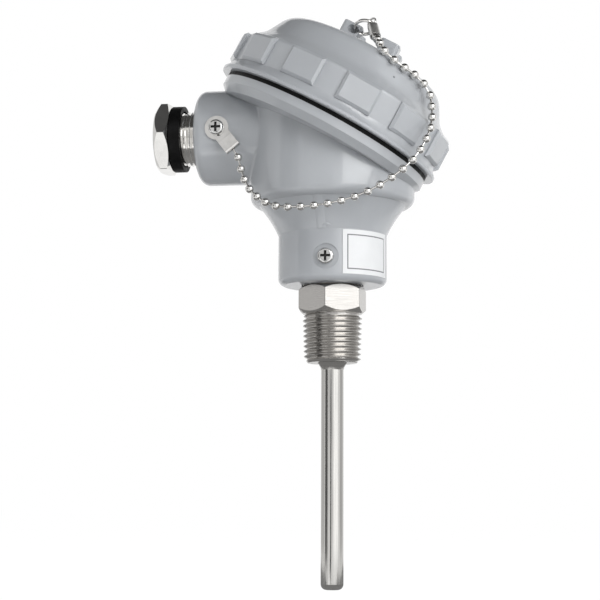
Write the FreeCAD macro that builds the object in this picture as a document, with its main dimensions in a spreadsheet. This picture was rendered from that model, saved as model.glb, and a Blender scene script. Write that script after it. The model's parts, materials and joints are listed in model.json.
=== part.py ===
import FreeCAD, Part
import math
import os
import re
import Sketcher
from FreeCAD import Placement, Rotation, Vector

# Resistance thermometer with a connection head.
# +Z runs up the probe's axis, the origin is the centre of the hexagon's underside,
# where the tapered thread starts, and the cable entry points to -X.
# The cover's thread leans towards +X, so its own frame is turned about +Y.

# Driving sizes, in millimetres and degrees: name, value, what it measures
SIZES = [
    ("insertion_length", 97, "hexagon underside to the tip of the sheath"),
    ("sheath_radius", 4, "outside of the sheath"),
    ("sheath_wall", 0.8, "wall of the sheath"),
    ("sheath_step", 0.3, "upper end of the sheath, turned down to seat in the fitting"),
    ("tip_thickness", 1.2, "closed end of the sheath"),
    ("tip_rounding", 2, "rounding of the sheath's closed end"),
    ("sheath_seat", 12, "height at which the sheath ends in the fitting"),
    ("slip_gap", 0.1, "radial clearance of pieces that slide into each other"),
    ("element_radius", 1.5, "ceramic measuring element"),
    ("element_length", 20, "ceramic measuring element"),
    ("potting_floor", 0.5, "filling under the element"),
    ("potting_length", 28.6, "powder filling round the element"),
    ("insulator_rise", 4, "insulator standing out above the sheath"),
    ("wire_radius", 0.3, "lead wire"),
    ("wire_circle", 1, "circle of the four wires in the insulator"),
    ("wire_bore", 0.42, "bore for one wire in the insulator"),
    ("wire_bend", 2.2, "bend of a wire at the terminals"),
    ("wire_arch", 3.6, "height of a wire's arch above the terminal plate"),
    ("thread_radius", 10.65, "tapered thread at the hexagon"),
    ("thread_length", 17.5, "tapered thread"),
    ("thread_taper", 0.0625, "taper of the thread, on the diameter"),
    ("thread_lead_in", 0.9, "chamfer at the thread's end"),
    ("weld_radius", 5.2, "weld cone at the thread's end"),
    ("weld_length", 2.5, "weld cone"),
    ("hex_flats", 22, "hexagon of the process fitting across flats"),
    ("hex_height", 10, "hexagon of the process fitting"),
    ("hex_turn", 25.3, "turn of the hexagon's face from -Y towards +X"),
    ("hex_corner_cut", 1.5, "how far a hexagon's corners are chamfered"),
    ("spigot_radius", 11, "upper end of the fitting, inside the neck"),
    ("spigot_length", 20, "upper end of the fitting, inside the neck"),
    ("fitting_bore", 7, "wide bore in the fitting's upper end"),
    ("neck_radius", 19.4, "neck of the head"),
    ("neck_rounding", 2.5, "lower edge of the neck"),
    ("neck_height", 18, "straight part of the neck"),
    ("funnel_radius", 26.2, "top of the funnel under the chamber"),
    ("funnel_height", 10.6, "funnel between neck and chamber"),
    ("funnel_hollow", 40, "radius of the funnel's concave side"),
    ("chamber_radius", 29.4, "outside of the wiring chamber"),
    ("chamber_rounding", 3.2, "underside edge of the chamber"),
    ("casting_wall", 3.4, "wall of the chamber"),
    ("floor_height", 31, "floor of the chamber"),
    ("floor_radius", 16, "floor of the chamber"),
    ("chamber_foot", 45, "height at which the chamber is full width"),
    ("entry_radius", 17.2, "boss of the cable entry"),
    ("entry_shoulder", 3, "wall between the entry's bore and the chamber"),
    ("entry_height", 65, "axis of the cable entry"),
    ("entry_rounding", 3.5, "edge of the boss's end face"),
    ("entry_depth", 19.6, "threaded bore of the cable entry"),
    ("cable_way", 7.5, "radius of the way from the entry into the chamber"),
    ("lid_lean", 28.4, "lean of the cover's axis from +Z towards +X"),
    ("lid_x", -2, "centre of the cover's lower face"),
    ("lid_z", 68.2, "centre of the cover's lower face"),
    ("gasket_thickness", 1.5, "flat gasket under the cover"),
    ("gasket_radius", 40.2, "flat gasket under the cover"),
    ("flange_radius", 40.3, "rim of the head under the cover"),
    ("flange_depth", 7, "underside of the rim below the cover's face"),
    ("flange_bevel", 2.5, "bevel under the rim"),
    ("collar_radius", 36.6, "threaded collar that the cover screws on"),
    ("collar_wall", 4.6, "wall of the threaded collar"),
    ("collar_height", 8, "threaded collar above the cover's lower face"),
    ("mouth_depth", 3, "wide mouth below the cover's lower face"),
    ("lid_gap", 0.3, "radial clearance between collar and cover"),
    ("lip_radius", 43, "thin lip at the cover's lower edge"),
    ("lip_height", 1.3, "thin lip at the cover's lower edge"),
    ("lip_rounding", 0.5, "lower edge of the lip"),
    ("lip_hollow", 6, "hollow between lip and skirt"),
    ("skirt_foot", 4.4, "where the skirt's straight side starts"),
    ("skirt_radius", 41.2, "skirt of the cover"),
    ("skirt_top", 15.2, "top of the skirt"),
    ("skirt_rounding", 1.8, "upper edge of the skirt"),
    ("skirt_lean", 1.1, "how far the skirt's upper edge runs in"),
    ("shoulder_radius", 37.4, "inner end of the sloping shoulder"),
    ("shoulder_height", 17.5, "inner end of the sloping shoulder"),
    ("dome_hollow", 10, "hollow between shoulder and dome"),
    ("dome_foot", 34.9, "lower end of the dome's side"),
    ("dome_foot_height", 20.6, "lower end of the dome's side"),
    ("dome_side", 32.9, "upper end of the dome's side"),
    ("dome_side_height", 24.2, "upper end of the dome's side"),
    ("dome_edge", 26, "inner end of the dome's rounded edge"),
    ("dome_edge_height", 28.6, "inner end of the dome's rounded edge"),
    ("dome_rounding", 7.5, "rounded edge of the dome"),
    ("dome_height", 30.4, "top of the dome"),
    ("lid_wall", 3.1, "wall of the cover's dome"),
    ("lid_bore_height", 12.5, "bore of the cover's skirt"),
    ("pad_rise", 1.7, "corners of the grip pads above the skirt"),
    ("pad_foot", 4.3, "lower edge of the grip pads"),
    ("pad_height", 10.3, "grip pads"),
    ("pad_angle", 18.5, "width of a grip pad"),
    ("pad_bevel", 1, "bevel round a grip pad"),
    ("pad_count", 12, "grip pads"),
    ("lid_clocking", 3, "turn of the cover about its own axis"),
    ("lug_outer", 11.2, "outer face of the crown lugs"),
    ("lug_slot", 7.5, "cross slot between the lugs"),
    ("lug_foot", 28, "where the lugs start inside the dome's wall"),
    ("lug_top", 36.2, "top of the lugs"),
    ("lug_rounding", 1.5, "upright edges of a lug"),
    ("lug_edge", 0.5, "upper edges of a lug"),
    ("lug_count", 4, "crown lugs"),
    ("ring_hole", 1.5, "hole through the corner of a lug"),
    ("ring_hole_height", 33.9, "hole through the corner of a lug"),
    ("ring_hole_inset", 2.1, "hole's axis from the lug's corner"),
    ("ring_radius", 3.5, "split ring, middle of the wire"),
    ("ring_wire", 0.45, "split ring, radius of the wire"),
    ("ring_coil", 0.42, "half the distance between the ring's two turns"),
    ("ring_rise", 40, "slope of the split ring from its hole"),
    ("gland_radius", 10, "thread of the gland screw"),
    ("gland_out", 5.6, "thread left standing out of the boss"),
    ("gland_engaged", 9, "thread inside the boss"),
    ("gland_flats", 24, "hexagon of the gland screw across flats"),
    ("gland_head", 5.7, "hexagon of the gland screw"),
    ("gland_bore", 5.75, "cable bore of the gland screw"),
    ("gland_mouth", 1, "countersink of the cable bore"),
    ("gland_turn", -0.8, "turn of the gland's hexagon"),
    ("seal_thickness", 4, "rubber ring behind the hexagon"),
    ("seal_radius", 12, "rubber ring behind the hexagon"),
    ("seal_gap", 0.2, "radial clearance of the rubber ring on the thread"),
    ("grommet_length", 4.5, "rubber grommet in the cable entry"),
    ("washer_thickness", 1.2, "thrust washer in the cable entry"),
    ("block_radius", 21, "ceramic terminal block"),
    ("block_foot", 46, "underside of the terminal block"),
    ("block_height", 8, "ceramic terminal block"),
    ("block_bore", 5, "wire hole in the terminal block"),
    ("post_pitch", 33, "distance between the block's fixing screws"),
    ("post_radius", 3.8, "posts under the terminal block"),
    ("post_foot", 29, "where the posts start in the neck's wall"),
    ("block_screw_radius", 2, "fixing screws of the block"),
    ("block_screw_head", 3.5, "fixing screws of the block"),
    ("block_screw_depth", 8, "fixing screws inside their posts"),
    ("plate_long", 8, "terminal plate"),
    ("plate_wide", 6, "terminal plate"),
    ("plate_thickness", 2.5, "terminal plate"),
    ("plate_sunk", 1.5, "terminal plate inside the block"),
    ("plate_x", 11, "middle of a terminal plate"),
    ("plate_y", 7.5, "middle of a terminal plate"),
    ("clamp_screw_radius", 1.6, "terminal screw"),
    ("clamp_screw_head", 2.8, "terminal screw"),
    ("clamp_screw_depth", 4.5, "terminal screw below its plate"),
    ("head_height", 2.1, "screw heads"),
    ("recess_long", 3.4, "cross recess of a screw"),
    ("recess_wide", 0.8, "cross recess of a screw"),
    ("recess_depth", 1.2, "cross recess of a screw"),
    ("neck_screw_height", 18.2, "set screw in the neck"),
    ("neck_screw_radius", 1.9, "set screw in the neck"),
    ("neck_screw_head", 2.9, "set screw in the neck"),
    ("neck_spot", 4.45, "spot face of the set screw"),
    ("neck_spot_reach", 18.8, "spot face from the neck's axis"),
    ("clip_screw_x", -39.3, "screw that holds the chain"),
    ("clip_screw_radius", 1.45, "screw that holds the chain"),
    ("clip_screw_head", 2.8, "screw that holds the chain"),
    ("clip_screw_depth", 5.6, "screw that holds the chain, in the boss"),
    ("clip_thickness", 0.5, "sheet of the chain's clip"),
    ("clip_eye", 4.3, "round eye of the clip"),
    ("clip_width", 5.7, "tongue of the clip"),
    ("clip_length", 10.5, "tongue of the clip from the screw to its fold"),
    ("clip_fold", 5, "length of the tongue that is folded back"),
    ("clip_fold_gap", 1.6, "space inside the fold"),
    ("clip_slope", 51.6, "slope of the tongue below the horizontal"),
    ("bead_radius", 1.5, "chain bead"),
    ("bead_pitch", 4.7, "distance between two beads"),
    ("link_radius", 0.45, "wire between two beads"),
    ("sleeve_radius", 1.95, "sleeve that joins chain and ring"),
    ("sleeve_bore", 1.65, "sleeve that joins chain and ring"),
    ("sleeve_length", 5.2, "sleeve that joins chain and ring"),
    ("sleeve_eye", 1.7, "wire eye at the sleeve's end"),
    ("sleeve_eye_wire", 0.35, "wire eye at the sleeve's end"),
    ("label_height", 15.5, "plain label on the neck"),
    ("label_foot", 12.1, "lower edge of the label"),
    ("label_start", 17.5, "first edge of the label from -Y towards +X"),
    ("label_angle", 61.5, "label round the neck"),
    ("label_gap", 0.05, "adhesive under the label"),
    ("label_thickness", 0.15, "plain label on the neck"),
]
NAMES = {name for name, value, note in SIZES}

# Two places this close are the same place, in millimetres
NEAR = 0.01
# A half-round bend's radius is this much over half its height, so that its arc stays defined
BEND_EASE = " + 0.001"
# Each arc of the chain's route takes up to this share of the shorter run beside it
ARC_SHARE = 0.45

# The end face of the boss from the probe's axis
ENTRY_FACE = "(chamber_radius - casting_wall + entry_shoulder + entry_depth)"

# Route of the bead chain, from the clip on the boss, round under the chamber,
# up over the cover's rim and dome to the sleeve at the crown
CHAIN_ROUTE = [
    (-33.7, -18.5, 57.9),
    (-31.0, -18.5, 54.6),
    (-29.8, -20.2, 48.2),
    (-26.0, -23.6, 40.2),
    (-17.6, -29.0, 33.4),
    (-7.0, -32.4, 32.4),
    (4.5, -32.6, 33.8),
    (15.6, -32.2, 37.2),
    (25.2, -32.6, 42.6),
    (33.0, -31.2, 49.6),
    (37.8, -28.0, 58.6),
    (38.9, -23.6, 68.0),
    (37.2, -21.6, 75.4),
    (32.0, -24.0, 81.0),
    (26.2, -26.4, 86.1),
    (21.5, -23.8, 90.8),
    (17.7, -18.1, 94.4),
    (16.7, -15.9, 98.2),
]

doc = FreeCAD.newDocument("Thermometer")
sheet = doc.addObject("Spreadsheet::Sheet", "Sizes")
for row, (name, value, note) in enumerate(SIZES, start=1):
    sheet.set("A%d" % row, note)
    sheet.set("B%d" % row, str(value))
    sheet.setAlias("B%d" % row, name)
doc.recompute()


def linked(text):
    """Write a formula of plain size names the way a document expression reads it."""
    return re.sub(r"[a-z][a-z_0-9]*", lambda word: "Sizes." + word.group(0)
                  if word.group(0) in NAMES else word.group(0), text)


def worked(text):
    """The number that a formula of size names gives."""
    return float(sheet.evalExpression(linked(text)))


def bind(feature, field, text):
    """Let a field of a feature follow a formula of size names."""
    feature.setExpression(field, linked(text))


def place(feature, x="0", y="0", z="0", axis=Vector(0, 0, 1), turn="0"):
    """Place a sub-part and keep its place and turn bound to the sizes."""
    feature.Placement = Placement(Vector(worked(x), worked(y), worked(z)),
                                  Rotation(axis, worked(turn)))
    for letter, text in zip("xyz", (x, y, z)):
        bind(feature, ".Placement.Base." + letter, text)
    bind(feature, ".Placement.Rotation.Angle", turn)


def new_body(label):
    """A body with the name that its file gets."""
    body = doc.addObject("PartDesign::Body", label)
    body.Label = label
    return body


def sketch_on(body, name, role, shift=("0", "0", "0"), turn="0"):
    """A sketch on one of the body's own origin planes, moved and turned in that plane."""
    sketch = body.newObject("Sketcher::SketchObject", name)
    plane = next(item for item in body.Origin.OriginFeatures if item.Role == role)
    sketch.AttachmentSupport = (plane, "")
    sketch.MapMode = "FlatFace"
    sketch.AttachmentOffset = Placement(Vector(*[worked(text) for text in shift]),
                                        Rotation(Vector(0, 0, 1), worked(turn)))
    for letter, text in zip("xyz", shift):
        if text != "0":
            bind(sketch, ".AttachmentOffset.Base." + letter, text)
    if turn != "0":
        bind(sketch, ".AttachmentOffset.Rotation.Angle", turn)
    return sketch


def fix_point(sketch, edge, end, x, y):
    """Tie one end of an edge to its two formulas."""
    for kind, text, axis in (("DistanceX", x, -2), ("DistanceY", y, -1)):
        if text == "0":
            sketch.addConstraint(Sketcher.Constraint("PointOnObject", edge, end, axis))
            continue
        number = sketch.addConstraint(
            Sketcher.Constraint(kind, -1, 1, edge, end, worked(text)))
        bind(sketch, "Constraints[%d]" % number, text)


def fix_radius(sketch, edge, text):
    """Tie the radius of an arc or a circle to its formula."""
    number = sketch.addConstraint(Sketcher.Constraint("Radius", edge, worked(text)))
    bind(sketch, "Constraints[%d]" % number, text)


def outline(sketch, corners, bends=None):
    """A closed outline through corners given as pairs of formulas.

    bends gives, for the edge that leaves a corner, an arc's radius and the side
    of the straight line that it swells to: 1 for the left and -1 for the right.
    """
    bends = bends or {}
    points = [Vector(worked(x), worked(y), 0) for x, y in corners]
    edges = []
    for number, start in enumerate(points):
        end = points[(number + 1) % len(points)]
        if number not in bends:
            edge = sketch.addGeometry(Part.LineSegment(start, end), False)
            edges.append((edge, 1, 2))
            continue
        radius, side = bends[number]
        along = end - start
        half = along.Length / 2
        left = Vector(-along.y, along.x, 0).normalize()
        rise = worked(radius) - math.sqrt(worked(radius) ** 2 - half ** 2)
        top = (start + end) / 2 + left * side * rise
        ends = (end, start) if side > 0 else (start, end)
        edge = sketch.addGeometry(Part.Arc(ends[0], top, ends[1]), False)
        edges.append((edge, 2, 1) if side > 0 else (edge, 1, 2))
        fix_radius(sketch, edge, radius)
    for number, (edge, first, last) in enumerate(edges):
        following, start, end = edges[(number + 1) % len(edges)]
        sketch.addConstraint(
            Sketcher.Constraint("Coincident", edge, last, following, start))
        fix_point(sketch, edge, first, *corners[number])


def circle(sketch, x, y, radius):
    """A circle with its centre and radius tied to formulas."""
    centre = Vector(worked(x), worked(y), 0)
    edge = sketch.addGeometry(Part.Circle(centre, Vector(0, 0, 1), worked(radius)), False)
    fix_point(sketch, edge, 3, x, y)
    fix_radius(sketch, edge, radius)


def rectangle(sketch, x, y, wide, high):
    """A rectangle round its middle."""
    left, right = "%s - (%s) / 2" % (x, wide), "%s + (%s) / 2" % (x, wide)
    low, top = "%s - (%s) / 2" % (y, high), "%s + (%s) / 2" % (y, high)
    outline(sketch, [(left, low), (right, low), (right, top), (left, top)])


def hexagon(sketch, flats, turn):
    """A hexagon across its flats, with one face's normal at the given turn."""
    corner = "(%s) / sqrt(3)" % flats
    outline(sketch, [("%s * cos(%s + %d)" % (corner, turn, 30 + 60 * number),
                      "%s * sin(%s + %d)" % (corner, turn, 30 + 60 * number))
                     for number in range(6)])


def turned(body, name, sketch, kind="Revolution"):
    """Turn a sketch about its own upright axis, as material or as a groove."""
    feature = body.newObject("PartDesign::" + kind, name)
    feature.Profile = sketch
    feature.ReferenceAxis = (sketch, ["V_Axis"])
    feature.Angle = 360
    return feature


def raised(body, name, sketch, length, kind="Pad", backwards=False):
    """Pad or pocket a sketch."""
    feature = body.newObject("PartDesign::" + kind, name)
    feature.Profile = sketch
    feature.Reversed = backwards
    bind(feature, "Length", length)
    return feature


def around(body, name, feature, sketch, count):
    """Repeat a feature round its sketch's normal."""
    pattern = body.newObject("PartDesign::PolarPattern", name)
    pattern.Originals = [feature]
    pattern.Axis = (sketch, ["N_Axis"])
    pattern.Angle = 360
    bind(pattern, "Occurrences", count)
    body.Tip = pattern
    return pattern


def eased(body, name, size, chosen, kind="Fillet"):
    """Round or bevel the edges of the body that a test picks out."""
    doc.recompute()
    base = body.Tip
    names = ["Edge%d" % number for number, edge in enumerate(base.Shape.Edges, start=1)
             if chosen(edge)]
    feature = body.newObject("PartDesign::" + kind, name)
    feature.Base = (base, names)
    bind(feature, "Radius" if kind == "Fillet" else "Size", size)
    return feature


def is_ring(edge, radius, direction, place_on_axis):
    """True for a full circle of this radius at this place along a direction."""
    curve = edge.Curve
    if not isinstance(curve, Part.Circle) or abs(curve.Radius - radius) > NEAR:
        return False
    return abs(curve.Center.dot(direction) - place_on_axis) < NEAR


def tube(label, outer, inner, length):
    """A plain ring or washer, cut from two cylinders."""
    pieces = []
    for name, radius in (("outside", outer), ("inside", inner)):
        cylinder = doc.addObject("Part::Cylinder", "%s_%s" % (label, name))
        bind(cylinder, "Radius", radius)
        bind(cylinder, "Height", length)
        pieces.append(cylinder)
    ring = doc.addObject("Part::Cut", label)
    ring.Base, ring.Tool = pieces
    ring.Label = label
    return ring


# Head casting
def leaned_sketch(body, name):
    """A sketch in the section plane whose upright axis is the cover's axis."""
    return sketch_on(body, name, "XZ_Plane", ("lid_x", "lid_z", "0"), "-lid_lean")


def make_housing():
    body = new_body("housing")
    neck_foot = "hex_height"
    neck_top = "hex_height + neck_height"
    funnel_top = neck_top + " + funnel_height"
    far_up = "lid_z + chamber_radius"

    casting = sketch_on(body, "casting_section", "XZ_Plane")
    outline(casting, [
        ("0", neck_foot),
        ("neck_radius - neck_rounding", neck_foot),
        ("neck_radius", neck_foot + " + neck_rounding"),
        ("neck_radius", neck_top),
        ("funnel_radius", funnel_top),
        ("chamber_radius", funnel_top + " + chamber_rounding"),
        ("chamber_radius", far_up),
        ("0", far_up),
    ], {1: ("neck_rounding", -1), 3: ("funnel_hollow", 1), 4: ("chamber_rounding", -1)})
    turned(body, "neck_and_chamber", casting)

    boss = sketch_on(body, "entry_boss_section", "YZ_Plane")
    circle(boss, "0", "entry_height", "entry_radius")
    raised(body, "entry_boss", boss, ENTRY_FACE, backwards=True)
    eased(body, "entry_edge", "entry_rounding",
          lambda edge: is_ring(edge, worked("entry_radius"), Vector(-1, 0, 0),
                               worked(ENTRY_FACE)))

    over = leaned_sketch(body, "above_rim_section")
    rectangle(over, "0", "lid_z - (gasket_thickness + flange_depth) / 2",
              "4 * lid_z", "2 * lid_z")
    cut = raised(body, "above_rim", over, "4 * lid_z", "Pocket")
    cut.SideType = "Symmetric"

    rim = leaned_sketch(body, "rim_section")
    outline(rim, [
        ("0", "-flange_depth"),
        ("flange_radius - flange_bevel", "-flange_depth"),
        ("flange_radius", "flange_bevel - flange_depth"),
        ("flange_radius", "-gasket_thickness"),
        ("collar_radius", "-gasket_thickness"),
        ("collar_radius", "collar_height"),
        ("0", "collar_height"),
    ])
    turned(body, "rim_and_collar", rim)

    cavity = sketch_on(body, "chamber_section", "XZ_Plane")
    outline(cavity, [
        ("0", "0"),
        ("spigot_radius + slip_gap", "0"),
        ("spigot_radius + slip_gap", "floor_height"),
        ("floor_radius", "floor_height"),
        ("chamber_radius - casting_wall", "chamber_foot"),
        ("chamber_radius - casting_wall", far_up + " + lid_z"),
        ("0", far_up + " + lid_z"),
    ])
    turned(body, "chamber", cavity, "Groove")

    mouth = leaned_sketch(body, "mouth_section")
    outline(mouth, [
        ("0", "-mouth_depth"),
        ("collar_radius - collar_wall", "-mouth_depth"),
        ("collar_radius - collar_wall", "2 * collar_height"),
        ("0", "2 * collar_height"),
    ])
    turned(body, "mouth", mouth, "Groove")

    posts = sketch_on(body, "post_section", "XY_Plane", ("0", "0", "post_foot"))
    holes = sketch_on(body, "post_hole_section", "XY_Plane", ("0", "0", "block_foot"))
    for side in ("post_pitch / 2", "-post_pitch / 2"):
        circle(posts, "0", side, "post_radius")
        circle(holes, "0", side, "block_screw_radius + slip_gap")
    raised(body, "terminal_posts", posts, "block_foot - post_foot")
    raised(body, "post_holes", holes, "block_screw_depth + slip_gap", "Pocket")

    entry = sketch_on(body, "entry_bore_section", "YZ_Plane", ("0", "0", "-" + ENTRY_FACE))
    circle(entry, "0", "entry_height", "gland_radius + slip_gap")
    raised(body, "entry_bore", entry, "entry_depth", "Pocket", True)
    way = sketch_on(body, "cable_way_section", "YZ_Plane", ("0", "0", "-" + ENTRY_FACE))
    circle(way, "0", "entry_height", "cable_way")
    raised(body, "cable_way", way, ENTRY_FACE + " - cable_way", "Pocket", True)

    spot = sketch_on(body, "neck_spot_section", "XZ_Plane", ("0", "0", "neck_spot_reach"))
    circle(spot, "0", "neck_screw_height", "neck_spot")
    raised(body, "neck_spot_face", spot, "neck_radius", "Pocket", True)
    hole = sketch_on(body, "neck_hole_section", "XZ_Plane", ("0", "0", "neck_spot_reach"))
    circle(hole, "0", "neck_screw_height", "neck_screw_radius + slip_gap")
    raised(body, "neck_hole", hole, "neck_spot_reach - fitting_bore", "Pocket")

    tapped = sketch_on(body, "clip_hole_section", "XZ_Plane", ("0", "0", "entry_radius"))
    circle(tapped, "clip_screw_x", "entry_height", "clip_screw_radius + slip_gap")
    raised(body, "clip_hole", tapped, "clip_screw_depth", "Pocket")
    return body


# Screw cover, in its own frame: +Z is its thread's axis, its lower face at zero
def make_cap():
    body = new_body("cap")
    shell = sketch_on(body, "cover_section", "XZ_Plane")
    crown_rise = "(dome_height - dome_edge_height)"
    crown = "(dome_edge^2 + %s^2) / (2 * %s)" % (crown_rise, crown_rise)
    outline(shell, [
        ("collar_radius + lid_gap", "0"),
        ("lip_radius - lip_rounding", "0"),
        ("lip_radius", "lip_rounding"),
        ("lip_radius", "lip_height"),
        ("skirt_radius", "skirt_foot"),
        ("skirt_radius", "skirt_top - skirt_rounding"),
        ("skirt_radius - skirt_lean", "skirt_top"),
        ("shoulder_radius", "shoulder_height"),
        ("dome_foot", "dome_foot_height"),
        ("dome_side", "dome_side_height"),
        ("dome_edge", "dome_edge_height"),
        ("0", "dome_height"),
        ("0", "dome_height - lid_wall"),
        ("dome_edge - lid_wall / 2", "dome_edge_height - lid_wall"),
        ("dome_side - lid_wall", "dome_side_height - lid_wall"),
        ("shoulder_radius - lid_wall", "shoulder_height - lid_wall / 2"),
        ("collar_radius + lid_gap", "lid_bore_height"),
    ], {1: ("lip_rounding", -1), 3: ("lip_hollow", 1), 5: ("skirt_rounding", -1),
        7: ("dome_hollow", 1), 9: ("dome_rounding", -1), 10: (crown, -1)})
    turned(body, "cover_shell", shell)

    lug = sketch_on(body, "lug_section", "XY_Plane", ("0", "0", "lug_foot"), "lid_clocking")
    near, far = "lug_slot / 2", "lug_outer"
    outline(lug, [(near, near), (far, near), (far, far), (near, far)])
    first = raised(body, "crown_lug", lug, "lug_top - lug_foot")
    around(body, "crown_lugs", first, lug, "lug_count")
    middle_height = worked("(lug_foot + lug_top) / 2")
    eased(body, "lug_corners", "lug_rounding",
          lambda edge: edge.BoundBox.ZMax > worked("lug_top") - NEAR
          and edge.BoundBox.ZMin < middle_height)
    eased(body, "lug_edges", "lug_edge",
          lambda edge: edge.BoundBox.ZMin > worked("lug_top") - NEAR)

    pad_sketch = sketch_on(body, "pad_section", "XY_Plane", ("0", "0", "pad_foot"),
                           "lid_clocking + 180 / pad_count")
    inside, outside = "(skirt_radius - pad_bevel)", "(skirt_radius + pad_rise)"
    outline(pad_sketch, [
        ("%s * cos(pad_angle / 2)" % reach, "%s%s * sin(pad_angle / 2)" % (side, reach))
        for reach, side in ((inside, "-"), (outside, "-"), (outside, ""), (inside, ""))])
    pad = raised(body, "grip_pad", pad_sketch, "pad_height")
    around(body, "grip_pads", pad, pad_sketch, "pad_count")
    eased(body, "pad_bevels", "pad_bevel",
          lambda edge: all(abs(math.hypot(end.Point.x, end.Point.y) - worked(outside)) < NEAR
                           for end in edge.Vertexes), "Chamfer")

    # The split ring's hole runs through the upright corner of one lug
    hole = sketch_on(body, "ring_hole_section", "XZ_Plane")
    hole.AttachmentOffset = Placement(Vector(0, 0, 0),
                                      Rotation(Vector(0, 1, 0), worked("lid_clocking - 45")))
    bind(hole, ".AttachmentOffset.Rotation.Angle", "lid_clocking - 45")
    circle(hole, "(lug_outer - lug_slot / 2) / sqrt(2) - ring_hole_inset",
           "ring_hole_height", "ring_hole")
    raised(body, "ring_hole", hole, "2 * lug_outer", "Pocket", True)
    place(body, "lid_x", "0", "lid_z", Vector(0, 1, 0), "lid_lean")
    return body


def make_gasket():
    gasket = tube("cap_gasket", "gasket_radius", "collar_radius + lid_gap", "gasket_thickness")
    place(gasket, "lid_x - gasket_thickness * sin(lid_lean)", "0",
          "lid_z - gasket_thickness * cos(lid_lean)", Vector(0, 1, 0), "lid_lean")


# Process fitting with its tapered thread, hexagon and upper end
def make_process_fitting():
    body = new_body("process_fitting")
    section = sketch_on(body, "fitting_section", "XZ_Plane")
    sheath_bore = "sheath_radius - sheath_step + slip_gap"
    small_end = "thread_radius - thread_length * thread_taper / 2"
    outline(section, [
        (sheath_bore, "-thread_length - weld_length"),
        ("sheath_radius", "-thread_length - weld_length"),
        ("weld_radius", "-thread_length"),
        (small_end + " - thread_lead_in", "-thread_length"),
        (small_end, "thread_lead_in - thread_length"),
        ("thread_radius", "0"),
        ("thread_radius", "hex_height"),
        ("spigot_radius", "hex_height"),
        ("spigot_radius", "hex_height + spigot_length - thread_lead_in"),
        ("spigot_radius - thread_lead_in", "hex_height + spigot_length"),
        ("fitting_bore", "hex_height + spigot_length"),
        ("fitting_bore", "sheath_seat"),
        (sheath_bore, "sheath_seat"),
    ])
    turned(body, "fitting_turned", section)
    nut = sketch_on(body, "hexagon_section", "XY_Plane")
    hexagon(nut, "hex_flats", "hex_turn - 90")
    circle(nut, "0", "0", "thread_radius - thread_lead_in")
    raised(body, "hexagon", nut, "hex_height")
    corner, flat = "hex_flats / sqrt(3)", "hex_flats / 2"
    for name, level, inward in (("low", "0", "hex_corner_cut"),
                                ("high", "hex_height", "hex_height - hex_corner_cut")):
        bevel = sketch_on(body, "bevel_section_" + name, "XZ_Plane")
        corners = [(flat, level), (corner + " + slip_gap", level),
                   (corner + " + slip_gap", inward)]
        outline(bevel, corners if name == "low" else corners[::-1])
        turned(body, "corner_bevel_" + name, bevel, "Groove")
    return body


def make_sheath():
    body = new_body("sheath_tube")
    section = sketch_on(body, "sheath_section", "XZ_Plane")
    tip, inside = "-insertion_length", "sheath_radius - sheath_wall"
    outline(section, [
        ("0", tip),
        ("sheath_radius - tip_rounding", tip),
        ("sheath_radius", tip + " + tip_rounding"),
        ("sheath_radius", "-thread_length - weld_length"),
        ("sheath_radius - sheath_step", "-thread_length - weld_length"),
        ("sheath_radius - sheath_step", "sheath_seat"),
        (inside, "sheath_seat"),
        (inside, tip + " + tip_thickness"),
        ("0", tip + " + tip_thickness"),
    ], {1: ("tip_rounding", -1)})
    turned(body, "sheath_turned", section)


# Measuring insert inside the sheath
INSERT_FOOT = "slip_gap + tip_thickness - insertion_length"
POTTING_TOP = INSERT_FOOT + " + potting_length"
ELEMENT_FOOT = INSERT_FOOT + " + potting_floor"
ELEMENT_TOP = ELEMENT_FOOT + " + element_length"
INSERT_RADIUS = "sheath_radius - sheath_wall - slip_gap"


def make_insert():
    potting = new_body("element_potting")
    section = sketch_on(potting, "potting_section", "XZ_Plane")
    bore = "element_radius + slip_gap"
    outline(section, [
        ("0", INSERT_FOOT),
        (INSERT_RADIUS, INSERT_FOOT),
        (INSERT_RADIUS, POTTING_TOP),
        (bore, POTTING_TOP),
        (bore, ELEMENT_FOOT),
        ("0", ELEMENT_FOOT),
    ])
    turned(potting, "potting_turned", section)

    element = doc.addObject("Part::Cylinder", "rtd_element")
    bind(element, "Radius", "element_radius")
    bind(element, "Height", "element_length")
    place(element, z=ELEMENT_FOOT)

    insulator = new_body("insulator_tube")
    face = sketch_on(insulator, "insulator_section", "XY_Plane", ("0", "0", POTTING_TOP))
    circle(face, "0", "0", INSERT_RADIUS)
    for x, y in wire_directions():
        circle(face, "wire_circle * %.6f" % x, "wire_circle * %.6f" % y, "wire_bore")
    raised(insulator, "insulator", face,
           "sheath_seat + insulator_rise - (%s)" % POTTING_TOP)


def wire_directions():
    """Unit directions from the axis to the inner side of each terminal plate."""
    x = worked("plate_x - clamp_screw_head - 2 * wire_radius")
    y = worked("plate_y - clamp_screw_head + wire_radius")
    reach = math.hypot(x, y)
    return [(side * x / reach, end * y / reach) for side in (1, -1) for end in (1, -1)]


def rounded_path(points, radii):
    """A wire of straight runs with a tangent arc of the given radius at each corner."""
    edges = []
    start = points[0]
    for before, corner, after, radius in zip(points, points[1:], points[2:], radii):
        way_in = (corner - before).normalize()
        way_out = (after - corner).normalize()
        turn = way_in.getAngle(way_out)
        setback = radius * math.tan(turn / 2)
        first = corner - way_in * setback
        last = corner + way_out * setback
        inward = (way_out - way_in).normalize()
        middle = corner + inward * (radius / math.cos(turn / 2) - radius)
        edges.append(Part.LineSegment(start, first).toShape())
        edges.append(Part.Arc(first, middle, last).toShape())
        start = last
    edges.append(Part.LineSegment(start, points[-1]).toShape())
    return Part.Wire(edges)


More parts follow.
